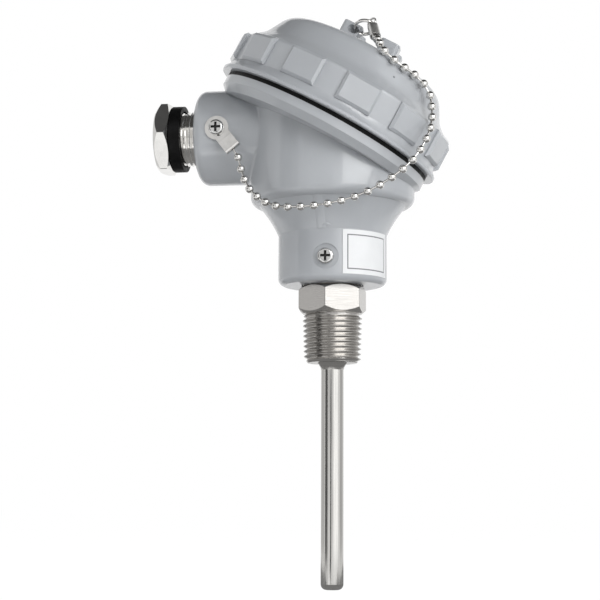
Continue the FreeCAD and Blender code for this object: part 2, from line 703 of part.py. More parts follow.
def make_lead_wires():
    plate_top = worked("block_foot + block_height - plate_sunk + plate_thickness")
    arch = plate_top + worked("wire_arch")
    reach = math.hypot(worked("plate_x - clamp_screw_head - 2 * wire_radius"),
                       worked("plate_y - clamp_screw_head + wire_radius"))
    bend = worked("wire_bend")
    wires = []
    for x, y in wire_directions():
        inner = Vector(x, y, 0) * worked("wire_circle")
        outer = Vector(x, y, 0) * reach
        path = rounded_path([
            inner + Vector(0, 0, worked(ELEMENT_TOP)),
            inner + Vector(0, 0, arch),
            outer + Vector(0, 0, arch),
            outer + Vector(0, 0, plate_top),
        ], [bend, bend])
        ring = Part.Wire(Part.Circle(inner + Vector(0, 0, worked(ELEMENT_TOP)),
                                     Vector(0, 0, 1), worked("wire_radius")).toShape())
        wires.append(path.makePipeShell([ring], True, False))
    feature = doc.addObject("Part::Feature", "lead_wires")
    feature.Shape = Part.makeCompound(wires)


# Terminal block and its metal
def four_corners(x, y):
    """The four mirrored places of a formula pair."""
    return [("%s(%s)" % (a, x), "%s(%s)" % (b, y)) for a in ("", "-") for b in ("", "-")]


def make_terminal_block():
    body = new_body("terminal_block")
    face = sketch_on(body, "block_section", "XY_Plane", ("0", "0", "block_foot"))
    circle(face, "0", "0", "block_radius")
    circle(face, "0", "0", "block_bore")
    for y in ("post_pitch / 2", "-post_pitch / 2"):
        circle(face, "0", y, "block_screw_radius + slip_gap")
    raised(body, "block", face, "block_height")
    top = "block_foot + block_height"
    slots = sketch_on(body, "slot_section", "XY_Plane", ("0", "0", top))
    bores = sketch_on(body, "clamp_bore_section", "XY_Plane", ("0", "0", top))
    for x, y in four_corners("plate_x", "plate_y"):
        rectangle(slots, x, y, "plate_long + slip_gap", "plate_wide + slip_gap")
        circle(bores, x, y, "clamp_screw_radius + slip_gap")
    raised(body, "plate_slots", slots, "plate_sunk", "Pocket")
    raised(body, "clamp_bores", bores, "plate_sunk + clamp_screw_depth + slip_gap", "Pocket")


def make_terminals():
    plates = []
    for number, (x, y) in enumerate(four_corners("plate_x", "plate_y"), start=1):
        plate = doc.addObject("Part::Box", "terminal_plate_%d" % number)
        bind(plate, "Length", "plate_long")
        bind(plate, "Width", "plate_wide")
        bind(plate, "Height", "plate_thickness")
        place(plate, x + " - plate_long / 2", y + " - plate_wide / 2",
              "block_foot + block_height - plate_sunk")
        hole = doc.addObject("Part::Cylinder", "terminal_hole_%d" % number)
        bind(hole, "Radius", "clamp_screw_radius + slip_gap")
        bind(hole, "Height", "3 * plate_thickness")
        place(hole, x, y, "block_foot + block_height - plate_thickness")
        cut = doc.addObject("Part::Cut", "terminal_%d" % number)
        cut.Base, cut.Tool = plate, hole
        plates.append(cut)
    group = doc.addObject("Part::Compound", "terminals")
    group.Links = plates


def make_screw(label, radius, head, depth):
    """A pan-head screw with a cross recess: its head sits at zero and its shank points down."""
    body = new_body(label)
    section = sketch_on(body, label + "_section", "XZ_Plane")
    outline(section, [
        ("0", "-(%s)" % depth),
        (radius, "-(%s)" % depth),
        (radius, "0"),
        (head, "0"),
        (head, "head_height / 2"),
        ("%s - head_height / 2" % head, "head_height"),
        ("0", "head_height"),
    ], {4: ("head_height / 2", -1)})
    turned(body, label + "_turned", section)
    cross = sketch_on(body, label + "_recess_section", "XY_Plane", ("0", "0", "head_height"))
    long, wide = "recess_long / 2", "recess_wide / 2"
    outline(cross, [(a + "(%s)" % x, b + "(%s)" % y) for a, b, x, y in (
        ("", "-", long, wide), ("", "", long, wide), ("", "", wide, wide),
        ("", "", wide, long), ("-", "", wide, long), ("-", "", wide, wide),
        ("-", "", long, wide), ("-", "-", long, wide), ("-", "-", wide, wide),
        ("-", "-", wide, long), ("", "-", wide, long), ("", "-", wide, wide))])
    raised(body, label + "_recess", cross, "recess_depth", "Pocket")
    return body


def screw_group(label, pattern, places, level):
    """Copies of one screw in a single sub-part, with the pattern screw left out of the files."""
    doc.recompute()
    feature = doc.addObject("Part::Feature", label)
    copies = []
    for x, y in places:
        copy = pattern.Shape.copy()
        copy.translate(Vector(worked(x), worked(y), worked(level)))
        copies.append(copy)
    feature.Shape = Part.makeCompound(copies)


def make_block_hardware():
    top = "block_foot + block_height"
    fixing = make_screw("fixing_screw_pattern", "block_screw_radius", "block_screw_head",
                        "block_height + block_screw_depth")
    screw_group("block_screws", fixing,
                [("0", "post_pitch / 2"), ("0", "-post_pitch / 2")], top)
    clamp = make_screw("clamp_screw_pattern", "clamp_screw_radius", "clamp_screw_head",
                       "plate_thickness + clamp_screw_depth")
    screw_group("terminal_screws", clamp, four_corners("plate_x", "plate_y"),
                top + " - plate_sunk + plate_thickness")


# Screws seen from outside
def make_outer_screws():
    neck = make_screw("neck_set_screw", "neck_screw_radius", "neck_screw_head",
                      "neck_spot_reach - spigot_radius")
    place(neck, "0", "-neck_spot_reach", "neck_screw_height", Vector(1, 0, 0), "90")
    clip = make_screw("clip_screw", "clip_screw_radius", "clip_screw_head",
                      "clip_thickness + clip_screw_depth - slip_gap")
    place(clip, "clip_screw_x", "-entry_radius - clip_thickness", "entry_height",
          Vector(1, 0, 0), "90")


# Cable gland, each piece with +Z along the way the cable leaves
def place_on_entry(feature, reach):
    """Stand a piece on the entry's axis, its foot at a distance from the probe's axis."""
    place(feature, "-(%s)" % reach, "0", "entry_height", Vector(0, 1, 0), "-90")


GLAND_SEAT = ENTRY_FACE + " + gland_out + seal_thickness"


def make_gland():
    body = new_body("gland_screw")
    section = sketch_on(body, "gland_section", "XZ_Plane")
    foot = "-(gland_engaged + gland_out + seal_thickness)"
    outline(section, [
        ("gland_bore", foot),
        ("gland_radius - gland_mouth", foot),
        ("gland_radius", foot + " + gland_mouth"),
        ("gland_radius", "gland_head / 2"),
        ("gland_bore", "gland_head / 2"),
    ])
    turned(body, "gland_turned", section)
    nut = sketch_on(body, "gland_hexagon_section", "XY_Plane")
    hexagon(nut, "gland_flats", "gland_turn")
    circle(nut, "0", "0", "gland_bore")
    raised(body, "gland_hexagon", nut, "gland_head")
    mouth = sketch_on(body, "gland_mouth_section", "XZ_Plane")
    outline(mouth, [
        ("gland_bore - slip_gap", "gland_head"),
        ("gland_bore - slip_gap", "gland_head - gland_mouth - slip_gap"),
        ("gland_bore + gland_mouth", "gland_head"),
    ])
    turned(body, "gland_countersink", mouth, "Groove")
    corner = "gland_flats / sqrt(3) + slip_gap"
    bevel = sketch_on(body, "gland_bevel_section", "XZ_Plane")
    outline(bevel, [
        ("gland_flats / 2", "gland_head"),
        (corner, "gland_head - gland_mouth"),
        (corner, "gland_head"),
    ])
    turned(body, "gland_corner_bevel", bevel, "Groove")
    place_on_entry(body, GLAND_SEAT)

    ring = tube("gland_seal_ring", "seal_radius", "gland_radius + seal_gap", "seal_thickness")
    place_on_entry(ring, ENTRY_FACE + " + gland_out")
    shoulder = ENTRY_FACE + " - entry_depth"
    grommet = tube("gland_grommet", "gland_radius", "gland_bore", "grommet_length")
    place_on_entry(grommet, shoulder)
    washer = tube("gland_washer", "gland_radius", "gland_bore", "washer_thickness")
    place_on_entry(washer, shoulder + " + grommet_length")


# Bead chain and what holds it
def lid_frame():
    """The cover's own frame, turned by its clocking."""
    lean = Placement(Vector(worked("lid_x"), 0, worked("lid_z")),
                     Rotation(Vector(0, 1, 0), worked("lid_lean")))
    return lean * Placement(Vector(0, 0, 0), Rotation(Vector(0, 0, 1), worked("lid_clocking")))


def ring_frame():
    """The split ring's frame: origin at its middle, +X away from its hole, +Z its axis."""
    diagonal = Vector(1, -1, 0).normalize()
    reach = worked("(lug_outer - lug_slot / 2) / sqrt(2) - ring_hole_inset")
    along = Vector(1, 1, 0).normalize()
    middle = diagonal * reach - along * worked("(lug_outer + lug_slot / 2) / sqrt(2)")
    hole = middle + Vector(0, 0, worked("ring_hole_height"))
    rise = math.radians(worked("ring_rise"))
    outward = diagonal * math.cos(rise) + Vector(0, 0, math.sin(rise))
    centre = hole + outward * worked("ring_radius")
    turn = Rotation(outward, along, Vector(), "XYZ")
    return lid_frame() * Placement(centre, turn)


def make_split_ring():
    turns = []
    for name, side in (("first", "ring_coil"), ("second", "-ring_coil")):
        coil = doc.addObject("Part::Torus", "split_ring_" + name)
        bind(coil, "Radius1", "ring_radius")
        bind(coil, "Radius2", "ring_wire")
        place(coil, z=side)
        turns.append(coil)
    ring = doc.addObject("Part::Fuse", "split_ring")
    ring.Base, ring.Tool = turns
    ring.Placement = ring_frame()


def make_upper_clip():
    """Sleeve round the chain's last bead, with a wire eye that the split ring runs through."""
    ring = ring_frame()
    joint = ring.multVec(Vector(worked("ring_radius"), 0, 0))
    along = (Vector(*CHAIN_ROUTE[-1]) - joint).normalize()
    tangent = ring.Rotation.multVec(Vector(0, 1, 0))
    side = (tangent - along * tangent.dot(along)).normalize()
    outer, inner, length = worked("sleeve_radius"), worked("sleeve_bore"), worked("sleeve_length")
    head = worked("sleeve_eye + sleeve_eye_wire / 2")
    cap = worked("sleeve_radius - sleeve_bore")
    body = Part.makeCylinder(outer, length, Vector(0, 0, head))
    bore = Part.makeCylinder(inner, length, Vector(0, 0, head + cap))
    eye = Part.makeTorus(worked("sleeve_eye"), worked("sleeve_eye_wire"),
                         Vector(0, 0, 0), Vector(0, 1, 0))
    feature = doc.addObject("Part::Feature", "chain_clip_upper")
    feature.Shape = body.cut(bore).fuse(eye).removeSplitter()
    feature.Placement = Placement(joint, Rotation(Vector(), side, along, "ZYX"))


def make_lower_clip():
    body = new_body("chain_clip_lower")
    sheet_thickness, gap = "clip_thickness", "clip_fold_gap"
    outer = "(clip_fold_gap / 2 + clip_thickness)"
    bend = "clip_length - " + outer
    top = "(2 * clip_thickness + clip_fold_gap)"
    back = "clip_length - clip_fold"
    tongue = sketch_on(body, "tongue_section", "XZ_Plane")
    outline(tongue, [
        ("clip_eye / 2", "0"),
        (bend, "0"),
        (bend, top),
        (back, top),
        (back, "%s + %s" % (sheet_thickness, gap)),
        (bend, "%s + %s" % (sheet_thickness, gap)),
        (bend, sheet_thickness),
        ("clip_eye / 2", sheet_thickness),
    ], {1: (outer + BEND_EASE, -1), 5: ("clip_fold_gap / 2" + BEND_EASE, 1)})
    tongue_pad = raised(body, "tongue", tongue, "clip_width")
    tongue_pad.SideType = "Symmetric"
    eye = sketch_on(body, "eye_section", "XY_Plane")
    circle(eye, "0", "0", "clip_eye")
    raised(body, "eye", eye, sheet_thickness)
    hole = sketch_on(body, "eye_hole_section", "XY_Plane")
    circle(hole, "0", "0", "clip_screw_radius + slip_gap")
    raised(body, "eye_hole", hole, sheet_thickness, "Pocket", True)
    slot = sketch_on(body, "slot_section_for_wire", "XY_Plane", ("0", "0", sheet_thickness))
    rectangle(slot, "clip_length", "0", "clip_fold / 2", "2 * link_radius + 2 * slip_gap")
    raised(body, "wire_slot", slot, gap, "Pocket", True)
    body.Placement = Placement(
        Vector(worked("clip_screw_x"), -worked("entry_radius"), worked("entry_height")),
        Rotation(Vector(0, 1, 0), worked("clip_slope")) * Rotation(Vector(1, 0, 0), 90))


def make_chain():
    """Beads at even steps along the route, each pair joined by a straight wire."""
    points = [Vector(*point) for point in CHAIN_ROUTE]
    radii = []
    for before, corner, after in zip(points, points[1:], points[2:]):
        run = min((corner - before).Length, (after - corner).Length)
        half_turn = (corner - before).getAngle(after - corner) / 2
        radii.append(ARC_SHARE * run / math.tan(half_turn))
    print("chain radii", ["%.1f" % radius for radius in radii])
    route = rounded_path(points, radii)
    count = round(route.Length / worked("bead_pitch"))
    print("chain length %.1f, beads %d" % (route.Length, count))
    stations = route.discretize(Number=count + 1)
    pieces = []
    for first, second in zip(stations, stations[1:]):
        pieces.append(Part.makeCylinder(worked("link_radius"), (second - first).Length,
                                        first, second - first))
    # Each bead's seam and poles are turned away from the wires that enter it
    ends = [Vector(0, 0, 0)] + [(second - first).normalize()
                                for first, second in zip(stations, stations[1:])]
    for middle, before, after in zip(stations[1:], ends[1:], ends[2:] + ends[-1:]):
        along = (before + after).normalize()
        side = along.cross(Vector(0, 1, 0)).normalize()
        bead = Part.makeSphere(worked("bead_radius"))
        bead.Placement = Placement(middle, Rotation(Vector(), along, side, "ZYX"))
        pieces.append(bead)
    feature = doc.addObject("Part::Feature", "bead_chain")
    feature.Shape = pieces[0].multiFuse(pieces[1:])


def make_label():
    sectors = []
    for name, radius in (("face", "neck_radius + label_gap + label_thickness"),
                         ("back", "neck_radius + label_gap")):
        sector = doc.addObject("Part::Cylinder", "label_" + name)
        bind(sector, "Radius", radius)
        bind(sector, "Height", "label_height")
        sectors.append(sector)
    bind(sectors[0], "Angle", "label_angle")
    label = doc.addObject("Part::Cut", "neck_label")
    label.Base, label.Tool = sectors
    place(label, z="label_foot", turn="label_start - 90")


NODES = [
    "housing", "cap", "cap_gasket", "process_fitting", "sheath_tube", "element_potting",
    "rtd_element", "insulator_tube", "lead_wires", "terminal_block", "terminals",
    "terminal_screws", "block_screws", "neck_set_screw", "clip_screw", "gland_screw",
    "gland_seal_ring", "gland_grommet", "gland_washer", "chain_clip_lower", "bead_chain",
    "chain_clip_upper", "split_ring", "neck_label",
]


def check_document():
    """Stop if a feature failed, a cut removed nothing or a sub-part isn't a sound solid."""
    failed = [item.Name for item in doc.Objects
              if "Invalid" in item.State or "Error" in item.State]
    if failed:
        raise RuntimeError("failed: " + ", ".join(failed))
    for item in doc.Objects:
        if item.TypeId in ("PartDesign::Pocket", "PartDesign::Groove"):
            if item.Shape.Volume > item.BaseFeature.Shape.Volume - NEAR:
                raise RuntimeError(item.Name + " cuts nothing")
    for name in NODES:
        shape = doc.getObject(name).Shape
        if shape.isNull() or not shape.isValid() or not shape.Solids:
            raise RuntimeError(name + " is no sound solid")


def build():
    make_housing()
    make_cap()
    make_gasket()
    make_process_fitting()
    make_sheath()
    make_insert()
    make_lead_wires()
    make_terminal_block()
    make_terminals()
    make_block_hardware()
    make_outer_screws()
    make_gland()
    make_split_ring()
    make_upper_clip()
    make_lower_clip()
    make_chain()
    make_label()
    doc.recompute()
    check_document()
    os.makedirs("parts", exist_ok=True)
    for name in NODES:
        shape = doc.getObject(name).Shape
        shape.exportStep("parts/%s.step" % name)
        print("%-18s solids %d  volume %.1f" % (name, len(shape.Solids), shape.Volume))


build()
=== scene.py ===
# %% [markdown]
# # A resistance thermometer with a connection head
# The object is a probe that is screwed into a pipe: a long closed sheath, a threaded fitting
# with a hexagon, and a cast head with a leaning screw cover, a cable gland and a bead chain.
# The imported solids already have the right sizes and places, so this lesson dresses them:
# it adds threads, beads and cast seams as meshes, and gives every surface its own finish.
# The first step only loads the solids.

# %% Load the solids
import json
import math

import bmesh
import bpy
import numpy as np
from mathutils import Matrix, Vector


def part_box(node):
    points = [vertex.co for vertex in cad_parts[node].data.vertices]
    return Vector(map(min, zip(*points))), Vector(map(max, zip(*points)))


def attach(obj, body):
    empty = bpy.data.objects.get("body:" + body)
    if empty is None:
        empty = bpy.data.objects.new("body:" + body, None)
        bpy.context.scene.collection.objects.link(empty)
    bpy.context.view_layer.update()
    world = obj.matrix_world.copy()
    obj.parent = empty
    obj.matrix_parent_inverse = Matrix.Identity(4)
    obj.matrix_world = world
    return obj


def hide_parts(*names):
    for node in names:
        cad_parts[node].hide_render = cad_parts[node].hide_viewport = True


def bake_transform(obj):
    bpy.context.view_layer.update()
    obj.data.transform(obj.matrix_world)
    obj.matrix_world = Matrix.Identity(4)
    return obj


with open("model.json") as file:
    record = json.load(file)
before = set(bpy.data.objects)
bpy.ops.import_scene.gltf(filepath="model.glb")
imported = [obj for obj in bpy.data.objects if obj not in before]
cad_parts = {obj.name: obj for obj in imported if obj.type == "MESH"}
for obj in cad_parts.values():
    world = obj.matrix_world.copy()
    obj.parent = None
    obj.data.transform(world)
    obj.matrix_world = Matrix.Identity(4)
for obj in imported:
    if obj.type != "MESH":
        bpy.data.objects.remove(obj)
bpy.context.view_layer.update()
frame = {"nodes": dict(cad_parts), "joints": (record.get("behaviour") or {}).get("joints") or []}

nodes = frame["nodes"]
mm = 0.001

# %% [markdown]
# ## The camera
# The photograph was taken from a little below the head, with a long lens, so the cover shows
# its skirt more than its dome. A camera can be aimed by a constraint or by its matrix. The
# matrix is used here, because the picture's small roll is then one more plain number.

# %% Camera
view_azimuth, view_elevation, view_roll = (math.radians(a) for a in (8.261, -6.871, 0.227))
view_distance = 575 * mm
view_aim_right, view_aim_up = -11.6 * mm, 5.05 * mm
back = Vector((math.sin(view_azimuth) * math.cos(view_elevation),
               -math.cos(view_azimuth) * math.cos(view_elevation),
               math.sin(view_elevation)))
level = Vector((math.cos(view_azimuth), math.sin(view_azimuth), 0))
upright = level.cross(-back)
right = level * math.cos(view_roll) + upright * math.sin(view_roll)
up = upright * math.cos(view_roll) - level * math.sin(view_roll)
eye = level * view_aim_right + Vector((0, 0, view_aim_up)) + back * view_distance

camera = bpy.data.objects.new("camera", bpy.data.cameras.new("camera"))
bpy.context.scene.collection.objects.link(camera)
bpy.context.scene.camera = camera
camera.data.sensor_width = 36
camera.data.lens = 96.6
camera.matrix_world = Matrix((right, up, back)).transposed().to_4x4()
camera.location = eye
print("camera at", [round(value, 3) for value in eye])

# %% [markdown]
# ## The bead chain's line
# The chain keeps the cover from getting lost. It is a limp cord that hangs from a clip on the
# cable entry, passes under the chamber, climbs over the rim and ends at the crown. A cord
# could be simulated, but this one is held at both ends and rests on the cover, so its route
# is given as a smooth NURBS curve. It starts and ends where the solid chain does,
# and lies up to a few millimetres from it, where the photograph shows the beads.

# %% The chain's route
chain_route = [
    (-33.7, -18.5, 57.9), (-31.0, -18.5, 54.6), (-29.8, -20.2, 48.2), (-26.0, -23.6, 40.4),
    (-17.6, -29.0, 34.1), (-7.0, -32.4, 33.2), (4.5, -32.6, 34.3), (15.6, -32.2, 37.6),
    (25.0, -32.6, 43.0), (31.6, -31.4, 48.8), (35.6, -28.8, 55.8), (37.6, -25.6, 62.8),
    (37.2, -22.2, 69.2), (36.4, -20.0, 75.4), (31.8, -23.4, 80.2), (26.4, -28.8, 82.8),
    (21.0, -30.8, 87.4), (19.0, -25.6, 92.6), (17.6, -18.9, 94.8), (16.7, -15.9, 98.2),
]
chain_curve = bpy.data.curves.new("chain_line", "CURVE")
chain_curve.dimensions = "3D"
chain_curve.resolution_u = 24
chain_spline = chain_curve.splines.new("NURBS")
chain_spline.points.add(len(chain_route) - 1)
for control, place in zip(chain_spline.points, chain_route):
    control.co = (*(value * mm for value in place), 1)
chain_spline.order_u = 3
chain_spline.use_endpoint_u = True

line_object = bpy.data.objects.new("chain_line", chain_curve)
line_mesh = bpy.data.meshes.new_from_object(line_object)
chain_line = [vertex.co.copy() for vertex in line_mesh.vertices]
bpy.data.objects.remove(line_object)
chain_steps = [(b - a).length for a, b in zip(chain_line, chain_line[1:])]
chain_length = sum(chain_steps)
print("chain length %.1f mm in %d points" % (chain_length / mm, len(chain_line)))

# %% [markdown]
# ## Small tools for meshes
# Most of what is added is turned round an axis, so two helpers do the work: one makes a
# piece from vertices and faces, and one gives the faces of a grid whose rows run round the
# piece. Points that meet are welded first. Smooth shading is kept off every edge that is
# sharper than a set angle, as on machined parts.

# %% Mesh helpers
weld_distance = 0.001 * mm
thinnest_face = 0.0005 * mm


def mesh_piece(name, vertices, faces, crease=35):
    mesh = bpy.data.meshes.new(name)
    mesh.from_pydata([tuple(vertex) for vertex in vertices], [], faces)
    shaped = bmesh.new()
    shaped.from_mesh(mesh)
    bmesh.ops.remove_doubles(shaped, verts=shaped.verts, dist=weld_distance)
    bmesh.ops.dissolve_degenerate(shaped, edges=shaped.edges, dist=thinnest_face)
    bmesh.ops.recalc_face_normals(shaped, faces=shaped.faces)
    open_edges = sum(not edge.is_manifold for edge in shaped.edges)
    shaped.to_mesh(mesh)
    shaped.free()
    for polygon in mesh.polygons:
        polygon.use_smooth = True
    mesh.set_sharp_from_angle(angle=math.radians(crease))
    piece = bpy.data.objects.new(name, mesh)
    bpy.context.scene.collection.objects.link(piece)
    print("%s: %d faces, %d open edges" % (name, len(mesh.polygons), open_edges))
    return piece


def strip_faces(rows, columns, first=0, ring=True):
    """Quads of a grid whose rows follow each other in the vertex list."""
    faces = []
    for row in range(rows - 1):
        for column in range(columns if ring else columns - 1):
            beside = (column + 1) % columns
            faces.append((first + row * columns + column, first + row * columns + beside,
                          first + (row + 1) * columns + beside,
                          first + (row + 1) * columns + column))
    return faces


# %% [markdown]
# ## Beads and links
# A ball chain is hollow beads rolled from sheet, with a small hole at each end and a
# dumb-bell wire between two beads. A particle system could scatter them, but then they
# couldn't bend with the cover, so all beads and wires are one mesh along the curve: each
# bead is turned so that its holes point along the chain, as the wire pulls it.

# %% Chain mesh
bead_radius = 1.5 * mm
bead_pitch = 4.7 * mm
bead_hole = 0.62 * mm
wire_radius = 0.4 * mm
bead_sides = 24
bead_rings = 15
lip_depth, lip_width = 0.12 * mm, 0.1 * mm
point_radius = 0.01 * mm


def along_chain(distance):
    """Point of the chain's line at a distance from its first end."""
    for start, end, step in zip(chain_line, chain_line[1:], chain_steps):
        if distance <= step:
            return start.lerp(end, distance / step)
        distance -= step
    return chain_line[-1].copy()


def turned_shape(middle, axis, profile):
    """Rings round an axis: the profile is pairs of place along it and radius."""
    side = axis.orthogonal().normalized()
    other = axis.cross(side)
    points = []
    for place, radius in profile:
        for number in range(bead_sides):
            angle = 2 * math.pi * number / bead_sides
            spoke = side * math.cos(angle) + other * math.sin(angle)
            points.append(middle + axis * place + spoke * radius)
    return points


def bead_profile():
    """A sphere that is open at both poles, with its rim folded inwards."""
    pole = math.asin(bead_hole / bead_radius)
    angles = [pole + (math.pi - 2 * pole) * step / (bead_rings - 1)
              for step in range(bead_rings)]
    shell = [(-bead_radius * math.cos(a), bead_radius * math.sin(a)) for a in angles]
    rim_place, rim_radius = shell[0]
    lip = [(rim_place + lip_depth, rim_radius - lip_width), (0, wire_radius / 2)]
    return lip[::-1] + shell + [(-place, radius) for place, radius in lip]


chain_count = round(chain_length / bead_pitch)
stations = [along_chain(chain_length * number / chain_count) for number in range(chain_count + 1)]
chain_vertices, chain_faces = [], []
ball = bead_profile()
for number, middle in enumerate(stations[1:], start=1):
    before = stations[number - 1]
    after = stations[number + 1] if number < chain_count else middle * 2 - before
    axis = (after - before).normalized()
    chain_faces += strip_faces(len(ball), bead_sides, len(chain_vertices))
    chain_vertices += turned_shape(middle, axis, ball)
for before, after in zip(stations, stations[1:]):
    run = after - before
    rod = [(0, point_radius), (0, wire_radius * 0.8), (0.1 * run.length, wire_radius),
           (0.9 * run.length, wire_radius), (run.length, wire_radius * 0.8),
           (run.length, point_radius)]
    chain_faces += strip_faces(len(rod), bead_sides, len(chain_vertices))
    chain_vertices += turned_shape(before, run.normalized(), rod)
bead_chain = mesh_piece("bead_chain_beads", chain_vertices, chain_faces, crease=50)
print("beads:", chain_count)

# %% [markdown]
# ## Threads and hexagons
# The fitting and the gland are turned from hexagon bar and their threads are cut. A Screw
# modifier makes a thread, but it can't fade out at the ends or share its edges with a
# hexagon. So both parts are a grid round the axis: columns stand at fixed angles, with
# some on the hexagon's corners, and each row gives a radius and a height for every angle.
# In a thread the rows climb by one pitch in a turn, so the ridges stay sharp.

# %% Rows of a turned part
corner_round = 0.35 * mm
# One ridge: place in the pitch and share of the ridge's height
thread_shape = [(0.05, 0), (0.12, 0.1), (0.41, 0.9), (0.46, 1), (0.54, 1), (0.59, 0.9),
                (0.88, 0.1), (0.95, 0)]


def plain_row(radius, height):
    return lambda turn, reach: (radius, height)


def hexagon_row(base, slope):
    """A hexagon's outline, moved along the axis where a cone has cut its corners."""
    return lambda turn, reach: (reach, base + slope * reach)


def thread_rows(low, high, pitch, crest, depth, fade):
    """Rows that follow the helix between two heights, with ridges that fade at both ends."""
    def row(lift, rise):
        def place(turn, reach):
            height = min(max(low + (lift + turn) * pitch, low), high)
            share = min((height - low) / fade, (high - height) / fade, 1)
            return crest(height) - depth * (1 - rise * share * share * (3 - 2 * share)), height
        return place
    turns = math.ceil((high - low) / pitch) + 1
    return [row(number - 1 + phase, rise) for number in range(turns + 1)
            for phase, rise in thread_shape]


# %% Grid of a turned part
# Columns of one hexagon side in degrees from a corner, close together at the corners
corner_columns = [0, 0.35, 0.7, 1.0] + list(range(3, 58, 3)) + [59.0, 59.3, 59.65]


def hexagon_reach(degrees, flats):
    """Distance from the axis to a hexagon with rounded corners, from one corner's angle."""
    away = math.radians(min(degrees % 60, 60 - degrees % 60))
    centre = (flats / 2 - corner_round) / math.cos(math.pi / 6)
    tangent = math.atan2(corner_round / 2, centre + corner_round * math.cos(math.pi / 6))
    if away > tangent:
        return flats / 2 / math.cos(math.pi / 6 - away)
    return (centre * math.cos(away)
            + math.sqrt(corner_round ** 2 - (centre * math.sin(away)) ** 2))


def turned_part(name, rows, flats, corner_turn, to_place):
    """The closed mesh of a profile's rows, taken round the axis from a hexagon's corner."""
    degrees = [60 * side + step for side in range(6) for step in corner_columns] + [360]
    vertices = []
    for row in rows + rows[:1]:
        for angle in degrees:
            radius, height = row(angle / 360, hexagon_reach(angle, flats))
            direction = math.radians(angle + corner_turn)
            vertices.append(to_place(radius * math.cos(direction),
                                     radius * math.sin(direction), height))
    return mesh_piece(name, vertices, strip_faces(len(rows) + 1, len(degrees), ring=False), 28)


# %% [markdown]
# ## The process fitting
# Its tapered pipe thread has about nine ridges. Above it the hexagon's corners are cut by a
# cone at both ends, which gives each face its curved edge. Below it a weld runs down to the
# sheath. What is inside the head is plain, because nobody sees it.

# %% Process fitting
hexagon_flats = 22 * mm
hexagon_top = 10 * mm
# A corner is half a side away from the face that looks 25.3 degrees to the right of -Y
hexagon_turn = 25.3 - 90 + 30
spigot_radius, fitting_bore, sheath_bore = 11 * mm, 7 * mm, 3.8 * mm
fitting_low, fitting_high = (corner.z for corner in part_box("process_fitting"))
sheath_radius = (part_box("sheath_tube")[1].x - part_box("sheath_tube")[0].x) / 2
sheath_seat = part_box("sheath_tube")[1].z
thread_top_radius = 10.65 * mm
thread_low = -17.5 * mm
thread_pitch = 1.814 * mm
thread_depth = 1.15 * mm
cone_slope = 0.85
cone_foot = 10.5 * mm


def pipe_crest(height):
    return thread_top_radius + height / 32


fitting_rows = [
    plain_row(sheath_bore, fitting_low),
    plain_row(sheath_radius, fitting_low),
    plain_row(sheath_radius + 0.25 * mm, fitting_low + 0.9 * mm),
    plain_row(sheath_radius + 0.75 * mm, fitting_low + 1.8 * mm),
    plain_row(5.4 * mm, thread_low),
    plain_row(pipe_crest(thread_low) - thread_depth - 0.2 * mm, thread_low),
    plain_row(pipe_crest(thread_low) - thread_depth, thread_low + 0.2 * mm),
] + thread_rows(thread_low + 0.2 * mm, -0.15 * mm, thread_pitch, pipe_crest, thread_depth,
                1.1 * mm) + [
    plain_row(pipe_crest(0) - thread_depth, -0.1 * mm),
    plain_row(cone_foot, 0),
    hexagon_row(-cone_slope * cone_foot, cone_slope),
    hexagon_row(hexagon_top + cone_slope * cone_foot, -cone_slope),
    plain_row(cone_foot, hexagon_top),
    plain_row(cone_foot - 0.6 * mm, hexagon_top),
    plain_row(spigot_radius - 0.6 * mm, hexagon_top + 0.2 * mm),
    plain_row(spigot_radius, hexagon_top + 0.8 * mm),
    plain_row(spigot_radius, fitting_high - 0.9 * mm),
    plain_row(spigot_radius - 0.9 * mm, fitting_high),
    plain_row(fitting_bore, fitting_high),
    plain_row(fitting_bore, sheath_seat),
    plain_row(sheath_bore, sheath_seat),
]
process_fitting = turned_part("threaded_fitting", fitting_rows, hexagon_flats, hexagon_turn,
                              lambda x, y, z: (x, y, z))

# %% [markdown]
# ## The gland screw
# It presses the rubber grommet round the cable. Its axis is the cable entry's, so the same
# rows are laid along -X. The thread outside the boss shows four ridges, and the hexagon's
# outer end has a countersunk hole.

# %% Gland screw
gland_flats = 24 * mm
# One face looks almost straight up, and a corner is half a side away from it
gland_turn = -0.8 + 30
entry_height = 65 * mm
gland_low, gland_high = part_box("gland_screw")
gland_end = -gland_low.x
gland_foot = -gland_high.x
gland_hex = gland_end - 5.7 * mm
gland_bore = 5.75 * mm
gland_crest = 10 * mm
gland_cone = 11.5 * mm
ring_space = 4.1 * mm

gland_rows = [
    plain_row(gland_bore, gland_foot),
    plain_row(gland_crest - 1 * mm, gland_foot),
    plain_row(gland_crest - 0.95 * mm, gland_foot + 0.3 * mm),
] + thread_rows(gland_foot + 0.3 * mm, gland_hex - ring_space, 1.5 * mm,
                lambda height: gland_crest, 0.95 * mm, 1 * mm) + [
    plain_row(gland_crest - 0.4 * mm, gland_hex - ring_space + 0.3 * mm),
    plain_row(gland_crest - 0.4 * mm, gland_hex),
    plain_row(gland_cone, gland_hex),
    hexagon_row(gland_hex - 0.6 * gland_cone, 0.6),
    hexagon_row(gland_end + cone_slope * gland_cone, -cone_slope),
    plain_row(gland_cone, gland_end),
    plain_row(gland_bore + 1.1 * mm, gland_end),
    plain_row(gland_bore, gland_end - 1.1 * mm),
]
gland_screw = turned_part("threaded_gland", gland_rows, gland_flats, gland_turn,
                          lambda x, y, z: (-z, y, entry_height + x))

